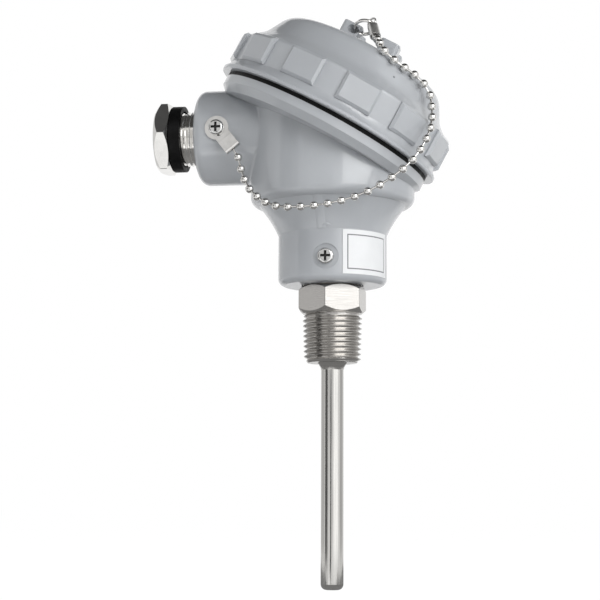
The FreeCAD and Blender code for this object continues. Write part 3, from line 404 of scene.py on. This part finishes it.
# %% [markdown]
# ## The split ring
# A split ring is spring wire wound nearly twice, so its two ends overlap. The solid stands in
# with two closed rings. Its middle and axis are read from that solid: the thinnest main
# direction of its points is the ring's axis. A coil of wire is drawn round it as a curve with
# a round bevel, then turned into a mesh.

# %% Split ring
ring_turns = 1.92
ring_wire = 0.45 * mm
ring_points = np.array([vertex.co for vertex in nodes["split_ring"].data.vertices])
ring_middle = ring_points.mean(0)
ring_axes = np.linalg.svd(ring_points - ring_middle, full_matrices=False)[2]
ring_flat, ring_across, ring_axis = (Vector(axis) for axis in ring_axes)
ring_reach = np.abs((ring_points - ring_middle) @ ring_axes[0]).max() - ring_wire
ring_steps = 96
ring_rise = 0.84 * mm

coil_curve = bpy.data.curves.new("coil_line", "CURVE")
coil_curve.dimensions = "3D"
coil_curve.bevel_depth = ring_wire
coil_curve.bevel_resolution = 3
coil_curve.use_fill_caps = True
coil_spline = coil_curve.splines.new("POLY")
coil_spline.points.add(ring_steps)
for number, control in enumerate(coil_spline.points):
    share = number / ring_steps
    angle = 2 * math.pi * ring_turns * (share - 0.5)
    rise = ring_rise * (share - 0.5)
    spot = (Vector(ring_middle) + ring_flat * ring_reach * math.cos(angle)
            + ring_across * ring_reach * math.sin(angle) + ring_axis * rise)
    control.co = (*spot, 1)
coil_object = bpy.data.objects.new("coil_line", coil_curve)
coil_mesh = bpy.data.meshes.new_from_object(coil_object)
bpy.data.objects.remove(coil_object)
split_ring = mesh_piece("split_ring_coil", [vertex.co for vertex in coil_mesh.vertices],
                        [tuple(polygon.vertices) for polygon in coil_mesh.polygons])
print("ring radius %.2f mm" % (ring_reach / mm))

# %% [markdown]
# ## Cast fillet at the cable entry
# Where the boss meets the chamber, the mould leaves a small fillet that catches the light. A
# ball that rolls in the corner touches both cylinders, so its path gives the fillet without
# any boolean: the section at each step is the arc between the two contacts, closed by a
# point inside the metal.

# %% Fillet round the boss
boss_radius = 17.2 * mm
chamber_radius = 29.4 * mm
fillet_radius = 1.6 * mm
fillet_skin = 0.03 * mm
fillet_arc = 9
fillet_inside = 0.5 * mm
fillet_steps = 180
fillet_first, fillet_turn = 20, 320
cover_axis = Vector(frame["joints"][0]["axis"]).normalized()
cover_middle = Vector((-2, 0, 68.2)) * mm
rim_underside = -7 * mm
rim_gap = 0.6 * mm


def fillet_section(angle):
    """Points of the fillet's section at one angle round the boss."""
    sine, cosine = math.sin(angle), math.cos(angle)
    ball_y = (boss_radius + fillet_radius) * sine
    ball_x = -math.sqrt((chamber_radius + fillet_radius) ** 2 - ball_y ** 2)
    ball_z = entry_height + (boss_radius + fillet_radius) * cosine
    ball_middle = Vector((ball_x, ball_y, ball_z))
    on_boss = Vector((ball_x, boss_radius * sine, entry_height + boss_radius * cosine))
    share = chamber_radius / (chamber_radius + fillet_radius)
    on_chamber = Vector((ball_x * share, ball_y * share, ball_z))
    first, last = (on_boss - ball_middle).normalized(), (on_chamber - ball_middle).normalized()
    arc = [ball_middle + first.slerp(last, step / (fillet_arc - 1))
           * (fillet_radius + fillet_skin) for step in range(fillet_arc)]
    inner_y = (boss_radius - fillet_inside) * sine
    inner = Vector((-math.sqrt((chamber_radius - fillet_inside) ** 2 - inner_y ** 2), inner_y,
                    entry_height + (boss_radius - fillet_inside) * cosine))
    return arc + [inner]


sections = []
for number in range(fillet_steps + 1):
    section = fillet_section(math.radians(fillet_first + fillet_turn * number / fillet_steps))
    middle_height = (section[fillet_arc // 2] - cover_middle).dot(cover_axis)
    if middle_height < rim_underside + rim_gap:
        sections.append(section)
fillet_points = [point for section in sections for point in section]
fillet_faces = strip_faces(len(sections), fillet_arc + 1)
fillet_faces += [tuple(range(fillet_arc + 1)),
                 tuple(range(len(fillet_points) - fillet_arc - 1, len(fillet_points)))]
boss_fillet = mesh_piece("boss_fillet", fillet_points, fillet_faces)

# %% [markdown]
# ## Parting line on the funnel
# The two halves of the mould leave a low flat rib down the front of the funnel, which ends at
# the neck. It follows the funnel's own curve, which is part of a hollow arc, and its section
# is nearly flat with soft shoulders.

# %% Parting line
neck_radius, neck_top = 19.4 * mm, 28 * mm
funnel_radius, funnel_top = 26.2 * mm, 38.6 * mm
funnel_hollow = 40 * mm
seam_angle = math.radians(-4.5)
seam_half_width = 1.8 * mm
seam_height = 0.30 * mm
seam_rows, seam_columns = 20, 7
seam_sink, seam_inside = 0.05 * mm, 0.4 * mm


def funnel_points(count):
    """Radius and height along the funnel's concave side, from the neck upwards."""
    start, end = Vector((neck_radius, neck_top)), Vector((funnel_radius, funnel_top))
    half = (end - start).length / 2
    along = (end - start).normalized()
    outward = Vector((along.y, -along.x))
    centre = (start + end) / 2 + outward * math.sqrt(funnel_hollow ** 2 - half ** 2)
    first, last = (start - centre).normalized(), (end - centre).normalized()
    return [centre + first.slerp(last, step / (count - 1)) * funnel_hollow
            for step in range(count)]


seam_points = []
for radius, height in funnel_points(seam_rows):
    for step in range(seam_columns):
        share = 2 * step / (seam_columns - 1) - 1
        across = seam_half_width * share
        rise = seam_height * (1 - share ** 4) - seam_sink
        angle = seam_angle + across / radius
        seam_points.append(((radius + rise) * math.sin(angle),
                            -(radius + rise) * math.cos(angle), height))
    seam_points.append(((radius - seam_inside) * math.sin(seam_angle),
                        -(radius - seam_inside) * math.cos(seam_angle), height))
seam_ring = seam_columns + 1
seam_faces = strip_faces(seam_rows, seam_ring)
seam_faces += [tuple(range(seam_ring)),
               tuple(range(len(seam_points) - seam_ring, len(seam_points)))]
parting_line = mesh_piece("parting_line", seam_points, seam_faces)

# %% [markdown]
# ## Thread of the collar
# The cover screws on a collar with a coarse thread that shows only while the cover is off.
# It is made in the same way as the others, and laid along the cover's leaning axis.

# %% Collar thread
collar_radius = 36.6 * mm
collar_thread_low, collar_thread_high = 0.9 * mm, 7.4 * mm
collar_pitch, collar_ridge = 3 * mm, 0.26 * mm
collar_skin, collar_inside = 0.02 * mm, 0.4 * mm
cover_side = Vector((cover_axis.z, 0, -cover_axis.x))
cover_across = cover_axis.cross(cover_side)


def on_cover_axis(x, y, z):
    return cover_middle + cover_side * x + cover_across * y + cover_axis * z


collar_rows = [
    plain_row(collar_radius - collar_inside, collar_thread_low),
    plain_row(collar_radius - collar_skin, collar_thread_low),
] + thread_rows(collar_thread_low, collar_thread_high, collar_pitch,
                lambda height: collar_radius - collar_skin + collar_ridge, collar_ridge,
                1 * mm) + [
    plain_row(collar_radius - collar_skin, collar_thread_high),
    plain_row(collar_radius - collar_inside, collar_thread_high),
]
collar_thread = turned_part("collar_thread", collar_rows, 2 * collar_radius, 0, on_cover_axis)

# %% [markdown]
# ## Finishes
# Every finish starts from one Principled shader. A number that is the same all over is typed
# into the shader's own socket, and only what varies comes from texture nodes: fine noise for
# casting grain, stretched noise for turning and drawing marks. Object coordinates are used,
# because each solid's origin is the probe's own, so the grain has one scale on all parts.

# %% Material helpers
def new_finish(name, colour, roughness, metallic=0.0):
    material = bpy.data.materials.new(name)
    material.use_nodes = True
    shader = material.node_tree.nodes["Principled BSDF"]
    shader.inputs["Base Color"].default_value = (*colour, 1)
    shader.inputs["Roughness"].default_value = roughness
    shader.inputs["Metallic"].default_value = metallic
    return material, shader


def add_node(material, kind, **settings):
    node = material.node_tree.nodes.new(kind)
    for name, value in settings.items():
        setattr(node, name, value)
    return node


def join(material, output, socket):
    material.node_tree.links.new(output, socket)


def compute(material, operation, first, second):
    """A Math node on two sockets or numbers."""
    node = add_node(material, "ShaderNodeMath", operation=operation)
    for socket, value in zip(node.inputs, (first, second)):
        if isinstance(value, (int, float)):
            socket.default_value = value
        else:
            join(material, value, socket)
    return node.outputs["Value"]


def grain(material, scale, detail=3.0, stretch=(1, 1, 1)):
    """Noise in object space, stretched along some axes. Gives its value socket."""
    place = add_node(material, "ShaderNodeTexCoord")
    mapping = add_node(material, "ShaderNodeMapping")
    mapping.inputs["Scale"].default_value = stretch
    noise = add_node(material, "ShaderNodeTexNoise")
    noise.inputs["Scale"].default_value = scale
    noise.inputs["Detail"].default_value = detail
    join(material, place.outputs["Object"], mapping.inputs["Vector"])
    join(material, mapping.outputs["Vector"], noise.inputs["Vector"])
    return noise.outputs["Fac"]


def between(material, value, low, high, near=0.3, far=0.7):
    """A value taken from one range of numbers to another."""
    change = add_node(material, "ShaderNodeMapRange")
    for socket, number in zip(("From Min", "From Max", "To Min", "To Max"),
                              (near, far, low, high)):
        change.inputs[socket].default_value = number
    join(material, value, change.inputs["Value"])
    return change.outputs["Result"]


def shades(material, value, stops):
    """Colours along a ramp: the stops are pairs of place and colour."""
    ramp = add_node(material, "ShaderNodeValToRGB")
    while len(ramp.color_ramp.elements) < len(stops):
        ramp.color_ramp.elements.new(0.5)
    for element, (place, colour) in zip(ramp.color_ramp.elements, stops):
        element.position = place
        element.color = (*colour, 1)
    join(material, value, ramp.inputs["Fac"])
    return ramp.outputs["Color"]


def relief(material, shader, value, height, under=None):
    """Bump of a real height in metres, laid over another bump."""
    bump = add_node(material, "ShaderNodeBump")
    bump.inputs["Strength"].default_value = 1
    bump.inputs["Distance"].default_value = height
    join(material, value, bump.inputs["Height"])
    if under:
        join(material, under, bump.inputs["Normal"])
    join(material, bump.outputs["Normal"], shader.inputs["Normal"])
    return bump.outputs["Normal"]


def paint(finish, *names):
    """Give solids or pieces one finish."""
    for name in names:
        target = nodes.get(name) or bpy.data.objects[name]
        if not target.data.materials:
            target.data.materials.append(finish)
        for slot in target.material_slots:
            slot.link = "OBJECT"
            slot.material = finish
    print(finish.name, "on", ", ".join(names))


# %% [markdown]
# ## Grey enamel
# The casting is sprayed with a semi-gloss grey enamel. Close up it has orange peel from the
# spray, the casting's slow waves under it, and faint clouds in its colour. A thin coat layer
# gives the soft sheen. On the dome one tiny pit, a bubble in the casting, is only painted shade:
# its place is found by a ray from the camera, and near that point the paint is darkened.

# %% Enamel
picture_size = 600
pit_pixel = (394, 77)
pit_radius = 0.55 * mm


def seen_at(pixel, solid):
    """The point of a solid that the photograph shows at a pixel."""
    scale = camera.data.sensor_width / camera.data.lens / picture_size
    ray = (right * (pixel[0] - picture_size / 2) * scale
           - up * (pixel[1] - picture_size / 2) * scale - back)
    hit, spot = solid.ray_cast(eye, ray.normalized())[:2]
    return spot if hit else None


def make_enamel(name, pit=None):
    finish, shader = new_finish(name, (0.35, 0.366, 0.386), 0.40)
    shader.inputs["Coat Weight"].default_value = 0.8
    shader.inputs["Coat Roughness"].default_value = 0.12
    clouds = grain(finish, 45, 4)
    colour = shades(finish, clouds, [(0.3, (0.335, 0.350, 0.370)), (0.7, (0.367, 0.383, 0.403))])
    if pit is not None:
        place = add_node(finish, "ShaderNodeTexCoord")
        reach = add_node(finish, "ShaderNodeVectorMath", operation="DISTANCE")
        reach.inputs[1].default_value = pit
        join(finish, place.outputs["Object"], reach.inputs[0])
        # painted shade of the pit: the paint turns dark grey within the pit's radius
        pit_shade = between(finish, reach.outputs["Value"], 1, 0, pit_radius / 2, pit_radius)
        painted_shade_mix = add_node(finish, "ShaderNodeMix", data_type="RGBA")
        painted_shade_mix.inputs["B"].default_value = (0.12, 0.13, 0.14, 1)
        join(finish, pit_shade, painted_shade_mix.inputs["Factor"])
        join(finish, colour, painted_shade_mix.inputs["A"])
        colour = painted_shade_mix.outputs["Result"]
    join(finish, colour, shader.inputs["Base Color"])
    join(finish, between(finish, grain(finish, 160, 3), 0.36, 0.46), shader.inputs["Roughness"])
    waves = relief(finish, shader, grain(finish, 110, 2), 0.10 * mm)
    relief(finish, shader, grain(finish, 900, 2), 0.012 * mm, waves)
    return finish


pit_place = seen_at(pit_pixel, nodes["cap"])
print("pit at", pit_place)
paint(make_enamel("grey_enamel"), "housing", "boss_fillet", "parting_line", "collar_thread")
paint(make_enamel("cover_enamel", pit_place), "cap")

# %% [markdown]
# ## Polished nickel
# The gland, its thread, the chain, the ring and the clips are nickel plated. Nickel is a
# slightly warm metal, nearly a mirror, so most of its look comes from what it reflects. Fine
# noise in the roughness keeps the mirror from looking like glass. The sleeve at the chain's
# upper end is rubbed duller, and the screws inside the head are zinc plated, which is greyer.

# %% Nickel
def make_nickel(name, colour, low, high, wear):
    finish, shader = new_finish(name, colour, low, 1.0)
    join(finish, between(finish, grain(finish, 420, 4), low, high), shader.inputs["Roughness"])
    tint = [tuple(value * share for value in colour) for share in (1 - wear, 1)]
    join(finish, shades(finish, grain(finish, 260, 5), [(0.35, tint[0]), (0.6, tint[1])]),
         shader.inputs["Base Color"])
    relief(finish, shader, grain(finish, 700, 3), 0.004 * mm)
    return finish


paint(make_nickel("gland_nickel", (0.80, 0.79, 0.77), 0.06, 0.14, 0.08), "threaded_gland")
paint(make_nickel("chain_nickel", (0.74, 0.73, 0.71), 0.05, 0.12, 0.15), "bead_chain_beads",
      "split_ring_coil", "chain_clip_lower")
paint(make_nickel("sleeve_nickel", (0.78, 0.77, 0.75), 0.32, 0.42, 0.10), "chain_clip_upper")
paint(make_nickel("zinc_plate", (0.60, 0.60, 0.60), 0.14, 0.26, 0.25), "block_screws",
      "terminal_screws", "gland_washer")

# %% [markdown]
# ## Screws with painted shade in the recess
# A cross recess looks black on a bright screw, because it holds the shade, and here that shade
# is painted. Both outer screws face the front, so the recess is where X or Z is close to the
# screw's own axis: two Math nodes compare the smaller and the larger distance with the cross's
# sizes, and there the base colour turns nearly black.

# %% Outer screws
recess_arm, recess_half = 1.75 * mm, 0.45 * mm


def make_outer_screw(name, axis_x, axis_z):
    finish = make_nickel(name, (0.72, 0.72, 0.71), 0.10, 0.20, 0.2)
    shader = finish.node_tree.nodes["Principled BSDF"]
    bright = shader.inputs["Base Color"].links[0].from_socket
    place = add_node(finish, "ShaderNodeTexCoord")
    parts = add_node(finish, "ShaderNodeSeparateXYZ")
    join(finish, place.outputs["Object"], parts.inputs["Vector"])
    across = compute(finish, "ABSOLUTE",
                     compute(finish, "SUBTRACT", parts.outputs["X"], axis_x), 0)
    upward = compute(finish, "ABSOLUTE",
                     compute(finish, "SUBTRACT", parts.outputs["Z"], axis_z), 0)
    narrow = compute(finish, "LESS_THAN", compute(finish, "MINIMUM", across, upward),
                     recess_half)
    short = compute(finish, "LESS_THAN", compute(finish, "MAXIMUM", across, upward),
                    recess_arm)
    # painted shade in the cross recess: nearly black base colour where the cross lies
    painted_shade_mix = add_node(finish, "ShaderNodeMix", data_type="RGBA")
    painted_shade_mix.inputs["B"].default_value = (0.05, 0.05, 0.05, 1)
    join(finish, compute(finish, "MULTIPLY", narrow, short), painted_shade_mix.inputs["Factor"])
    join(finish, bright, painted_shade_mix.inputs["A"])
    join(finish, painted_shade_mix.outputs["Result"], shader.inputs["Base Color"])
    return finish


def head_middle(name):
    low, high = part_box(name)
    return (low.x + high.x) / 2, (low.z + high.z) / 2


for screw in ("neck_set_screw", "clip_screw"):
    paint(make_outer_screw(screw + "_zinc", *head_middle(screw)), screw)

# %% [markdown]
# ## Turned and drawn steel
# The fitting was turned on a lathe, which leaves fine rings round the axis. The sheath was
# drawn through a die and polished, which leaves marks along it. Both are the same stretched
# noise: squeezed along Z it makes rings, and stretched along Z it makes lengthwise lines.

# %% Steel
def make_steel(name, colour, stretch, scale, roughness, depth):
    finish, shader = new_finish(name, colour, roughness[0], 1.0)
    marks = grain(finish, scale, 4, stretch)
    low = tuple(value * 0.86 for value in colour)
    join(finish, shades(finish, marks, [(0.3, low), (0.65, colour)]), shader.inputs["Base Color"])
    join(finish, between(finish, marks, *roughness), shader.inputs["Roughness"])
    relief(finish, shader, marks, depth)
    return finish


paint(make_steel("turned_steel", (0.53, 0.515, 0.495), (1, 1, 40), 120, (0.16, 0.28), 0.010 * mm),
      "threaded_fitting")
paint(make_steel("drawn_steel", (0.58, 0.57, 0.55), (40, 40, 1), 60, (0.07, 0.13), 0.002 * mm),
      "sheath_tube")
paint(make_steel("bright_wire", (0.66, 0.65, 0.62), (1, 1, 20), 200, (0.25, 0.4), 0.004 * mm),
      "lead_wires")

# %% [markdown]
# ## Rubber, ceramic and brass
# The gasket, the gland's ring and the grommet are black moulded rubber: dark, dull, with a
# faint grey bloom. The terminal block and the insulators are fired ceramic, slightly warm
# and speckled. The terminal plates are rolled brass.

# %% Rubber, ceramic and brass
rubber, rubber_shader = new_finish("black_rubber", (0.006, 0.006, 0.006), 0.5)
rubber_shader.inputs["Specular IOR Level"].default_value = 0.12
join(rubber, shades(rubber, grain(rubber, 300, 4), [(0.4, (0.0022, 0.0022, 0.0022)),
                                                   (0.75, (0.006, 0.006, 0.0065))]),
     rubber_shader.inputs["Base Color"])
join(rubber, between(rubber, grain(rubber, 500, 3), 0.34, 0.55), rubber_shader.inputs["Roughness"])
relief(rubber, rubber_shader, grain(rubber, 1200, 2), 0.01 * mm)
paint(rubber, "cap_gasket", "gland_seal_ring", "gland_grommet")

ceramic, ceramic_shader = new_finish("fired_ceramic", (0.80, 0.77, 0.70), 0.5)
join(ceramic, shades(ceramic, grain(ceramic, 900, 2), [(0.32, (0.62, 0.57, 0.50)),
                                                       (0.40, (0.80, 0.77, 0.70))]),
     ceramic_shader.inputs["Base Color"])
join(ceramic, between(ceramic, grain(ceramic, 250, 3), 0.35, 0.6),
     ceramic_shader.inputs["Roughness"])
relief(ceramic, ceramic_shader, grain(ceramic, 600, 3), 0.02 * mm)
paint(ceramic, "terminal_block", "insulator_tube", "rtd_element", "element_potting")

brass = make_steel("rolled_brass", (0.76, 0.60, 0.30), (30, 1, 1), 90, (0.22, 0.38), 0.006 * mm)
paint(brass, "terminals")

# %% [markdown]
# ## The bare label
# A white film label is stuck round the neck. It is left blank, with the thin grey frame line
# that such labels have. The line is drawn by its distance from the label's edges: across the
# label as an angle round the axis times the radius, and up it as plain height.

# %% Label
label_start, label_span = math.radians(17.5 - 90), math.radians(61.5)
label_inset, label_line = 1.6 * mm, 0.42 * mm
label_low, label_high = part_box("neck_label")
label_radius = 19.6 * mm
film, film_shader = new_finish("white_film", (0.66, 0.67, 0.68), 0.45)
film_place = add_node(film, "ShaderNodeTexCoord")
film_parts = add_node(film, "ShaderNodeSeparateXYZ")
join(film, film_place.outputs["Object"], film_parts.inputs["Vector"])
film_angle = compute(film, "ARCTAN2", film_parts.outputs["Y"], film_parts.outputs["X"])
from_start = compute(film, "MULTIPLY", compute(film, "SUBTRACT", film_angle, label_start),
                     label_radius)
from_end = compute(film, "SUBTRACT", label_span * label_radius, from_start)
from_low = compute(film, "SUBTRACT", film_parts.outputs["Z"], label_low.z)
from_top = compute(film, "SUBTRACT", label_high.z, film_parts.outputs["Z"])
from_edge = compute(film, "MINIMUM", compute(film, "MINIMUM", from_start, from_end),
                    compute(film, "MINIMUM", from_low, from_top))
off_line = compute(film, "ABSOLUTE",
                   compute(film, "SUBTRACT", from_edge, label_inset + label_line / 2), 0)
on_line = compute(film, "LESS_THAN", off_line, label_line / 2)
film_mix = add_node(film, "ShaderNodeMix", data_type="RGBA")
film_mix.inputs["B"].default_value = (0.16, 0.165, 0.175, 1)
join(film, on_line, film_mix.inputs["Factor"])
join(film, shades(film, grain(film, 200, 3), [(0.3, (0.655, 0.665, 0.675)),
                                              (0.7, (0.68, 0.69, 0.70))]), film_mix.inputs["A"])
join(film, film_mix.outputs["Result"], film_shader.inputs["Base Color"])
join(film, between(film, grain(film, 300, 3), 0.40, 0.50), film_shader.inputs["Roughness"])
relief(film, film_shader, grain(film, 150, 2), 0.003 * mm)
paint(film, "neck_label")

# %% [markdown]
# ## What each piece moves with
# Each new piece rides on the body that carries it, and the solids that the fitting, the gland,
# the ring and the chain replace are hidden. The chain's mesh keeps the route above and rides on
# no body. On the real probe the cover rises when it is unscrewed, the chain bends between the
# head and the cover, and the swivel of its sleeve takes the turning.

# %% Bodies
for piece, body, slot_name in (
        (process_fitting, "housing", "turned_steel"), (gland_screw, "gland", "plated_brass"),
        (split_ring, "cap", "chain_metal"), (boss_fillet, "housing", "grey_casting"),
        (parting_line, "housing", "grey_casting"), (collar_thread, "housing", "grey_casting")):
    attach(piece, body)
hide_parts("process_fitting")
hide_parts("gland_screw")
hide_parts("split_ring")
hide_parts("bead_chain")
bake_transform(bead_chain)

# %% [markdown]
# ## Floor and world
# The photograph has a plain white ground. The world and the floor are white where the camera
# or a reflection sees them, and lend the object only plain light, so the white never comes
# from more light. The floor keeps part of its own shading, and with it the object's shadow.

# %% World
floor_height = -110 * mm
world = bpy.data.worlds.new("studio")
bpy.context.scene.world = world
world.use_nodes = True
world.node_tree.nodes.clear()
room = add_node(world, "ShaderNodeBackground")
room.inputs["Color"].default_value = (1, 1, 1, 1)
room.inputs["Strength"].default_value = 0.345
ground = add_node(world, "ShaderNodeBackground")
ground.inputs["Color"].default_value = (1, 1, 1, 1)
ground.inputs["Strength"].default_value = 1
world_mix = add_node(world, "ShaderNodeMixShader")
world_out = add_node(world, "ShaderNodeOutputWorld")


def seen_directly(material):
    """One where the camera, a reflection or a clear piece looks, and nought for plain light."""
    light = add_node(material, "ShaderNodeLightPath")
    mirror = compute(material, "MAXIMUM", light.outputs["Is Glossy Ray"],
                     light.outputs["Is Transmission Ray"])
    return compute(material, "MAXIMUM", light.outputs["Is Camera Ray"], mirror)


join(world, seen_directly(world), world_mix.inputs["Fac"])
join(world, room.outputs[0], world_mix.inputs[1])
join(world, ground.outputs[0], world_mix.inputs[2])
join(world, world_mix.outputs[0], world_out.inputs["Surface"])
print("light of the room %.3f" % room.inputs["Strength"].default_value)

# %% Floor
floor_size = 6.0
floor_white_share = 0.86
floor_mesh = bpy.data.meshes.new("studio_floor")
half = floor_size / 2
floor_mesh.from_pydata([(-half, -half, floor_height), (half, -half, floor_height),
                        (half, half, floor_height), (-half, half, floor_height)], [],
                       [(0, 1, 2, 3)])
floor = bpy.data.objects.new("studio_floor", floor_mesh)
bpy.context.scene.collection.objects.link(floor)
paper, paper_shader = new_finish("white_paper", (0.9, 0.9, 0.9), 0.9)
glow = add_node(paper, "ShaderNodeEmission")
glow.inputs["Color"].default_value = (1, 1, 1, 1)
glow.inputs["Strength"].default_value = 1.1
paper_mix = add_node(paper, "ShaderNodeMixShader")
join(paper, compute(paper, "MULTIPLY", seen_directly(paper), floor_white_share),
     paper_mix.inputs["Fac"])
join(paper, paper_shader.outputs[0], paper_mix.inputs[1])
join(paper, glow.outputs[0], paper_mix.inputs[2])
join(paper, paper_mix.outputs[0], paper.node_tree.nodes["Material Output"].inputs["Surface"])
floor.data.materials.append(paper)
print("floor at %.0f mm" % (floor_height / mm))

# %% [markdown]
# ## Lamps
# A soft box stands to the right of the camera and lights the cover's pads and one face of the
# hexagon. Three weak ones fill the top and the sides, and a low strip in front lifts the
# undersides. Only the soft box may be mirrored: a glint of the others would cut up the metal.

# %% Lamps
look_at = Vector((0, 0, 45 * mm))


def from_side(azimuth, elevation, distance):
    """A place round the object: azimuth 0 is in front and 90 at its right."""
    a, e = math.radians(azimuth), math.radians(elevation)
    return look_at + Vector((math.sin(a) * math.cos(e), -math.cos(a) * math.cos(e),
                             math.sin(e))) * distance


def soft_box(name, place, width, height, power):
    lamp = bpy.data.lights.new(name, "AREA")
    lamp.shape = "RECTANGLE"
    lamp.size, lamp.size_y = width, height
    lamp.energy = power
    box = bpy.data.objects.new(name, lamp)
    bpy.context.scene.collection.objects.link(box)
    box.location = place
    box.rotation_mode = "QUATERNION"
    box.rotation_quaternion = (look_at - place).to_track_quat("-Z", "Y")
    box.visible_camera = False
    return box


soft_box("key_box", from_side(43, 12, 0.62), 0.52, 0.50, 3.05)
for name, place, power in (("upper_fill", from_side(-50, 42, 0.80), 1.1),
                           ("left_fill", from_side(-78, -9, 0.70), 0.9),
                           ("right_fill", from_side(88, 22, 0.80), 0.7)):
    fill = soft_box(name, place, 0.60, 0.20, power)
    fill.visible_glossy = False
low_place = Vector((-0.085, -0.15, floor_height + 0.02))
low_strip = soft_box("low_strip", low_place, 0.20, 0.03, 0.04)
low_strip.visible_glossy = False

# %% [markdown]
# ## Cards for the reflections
# Metal shows only what it mirrors. In a studio, white walls give it its bright faces, and
# black flags its dark lines. Here they are plain cards with a brightness of their own, which
# reflections alone see, so they give and take no other light. The left flag and the one beside
# the camera draw the sheath's dark lines, the ceiling darkens what looks up, and the card on
# the floor what looks down. The scrim dims the soft box for the steel below the head, which
# would turn plain white, and the boss's strip draws the light band along the cable entry.

# %% Card tool
card_lift = 4 * mm


def studio_card(name, place, width, height, brightness, faces=look_at):
    """A card that only reflections see."""
    card = bpy.data.meshes.new(name)
    card.from_pydata([(-width / 2, -height / 2, 0), (width / 2, -height / 2, 0),
                      (width / 2, height / 2, 0), (-width / 2, height / 2, 0)], [],
                     [(0, 1, 2, 3)])
    screen = bpy.data.objects.new(name, card)
    bpy.context.scene.collection.objects.link(screen)
    screen.location = place
    screen.rotation_mode = "QUATERNION"
    screen.rotation_quaternion = (faces - place).to_track_quat("Z", "Y")
    screen.visible_camera = screen.visible_diffuse = screen.visible_shadow = False
    cloth, shader = new_finish(name + "_cloth", (0, 0, 0), 1.0)
    shader.inputs["Specular IOR Level"].default_value = 0
    shader.inputs["Emission Color"].default_value = (1, 1, 1, 1)
    shader.inputs["Emission Strength"].default_value = brightness
    card.materials.append(cloth)
    return screen


def floor_card(name, x, y, width, depth, brightness):
    """A card that lies just above the floor."""
    place = Vector((x, y, floor_height + card_lift))
    return studio_card(name, place, width, depth, brightness, place + Vector((0, 0, 1)))


# %% Studio cards
scrim_height = -14 * mm

studio_card("left_wall", from_side(-110, 2, 0.70), 0.90, 0.90, 0.70)
studio_card("left_flag", from_side(-55, -2, 0.55), 0.29, 0.60, 0.14)
studio_card("front_wall", from_side(-14, 14, 0.75), 0.60, 0.50, 0.74)
studio_card("camera_flag", from_side(-7, -9, 0.65), 0.11, 0.16, 0.06)
floor_card("front_strip", -0.065, -0.45, 0.10, 0.36, 0.06)
floor_card("boss_strip", -0.074, -0.175, 0.048, 0.05, 2.4)
scrim_place = from_side(43, 0, 0.55)
scrim_place.z = scrim_height
studio_card("lower_scrim", scrim_place, 0.48, 0.29, 1.60, Vector((0, 0, scrim_height)))
studio_card("side_card", from_side(77, 2, 0.64), 0.26, 0.90, 1.10)
studio_card("right_wall", from_side(101, 2, 0.70), 1.00, 0.90, 0.66)
studio_card("ceiling", look_at + Vector((0, 0, 0.55)), 1.10, 1.10, 0.08)
floor_card("floor_card", -0.03, 0.12, 0.60, 0.50, 0.30)
print("cards:", sum(item.name.endswith("_cloth") for item in bpy.data.materials))

# %% [markdown]
# ## Picture settings
# The Standard view shows a colour as it was written.

# %% Finish
bpy.context.scene.view_settings.view_transform = "Standard"
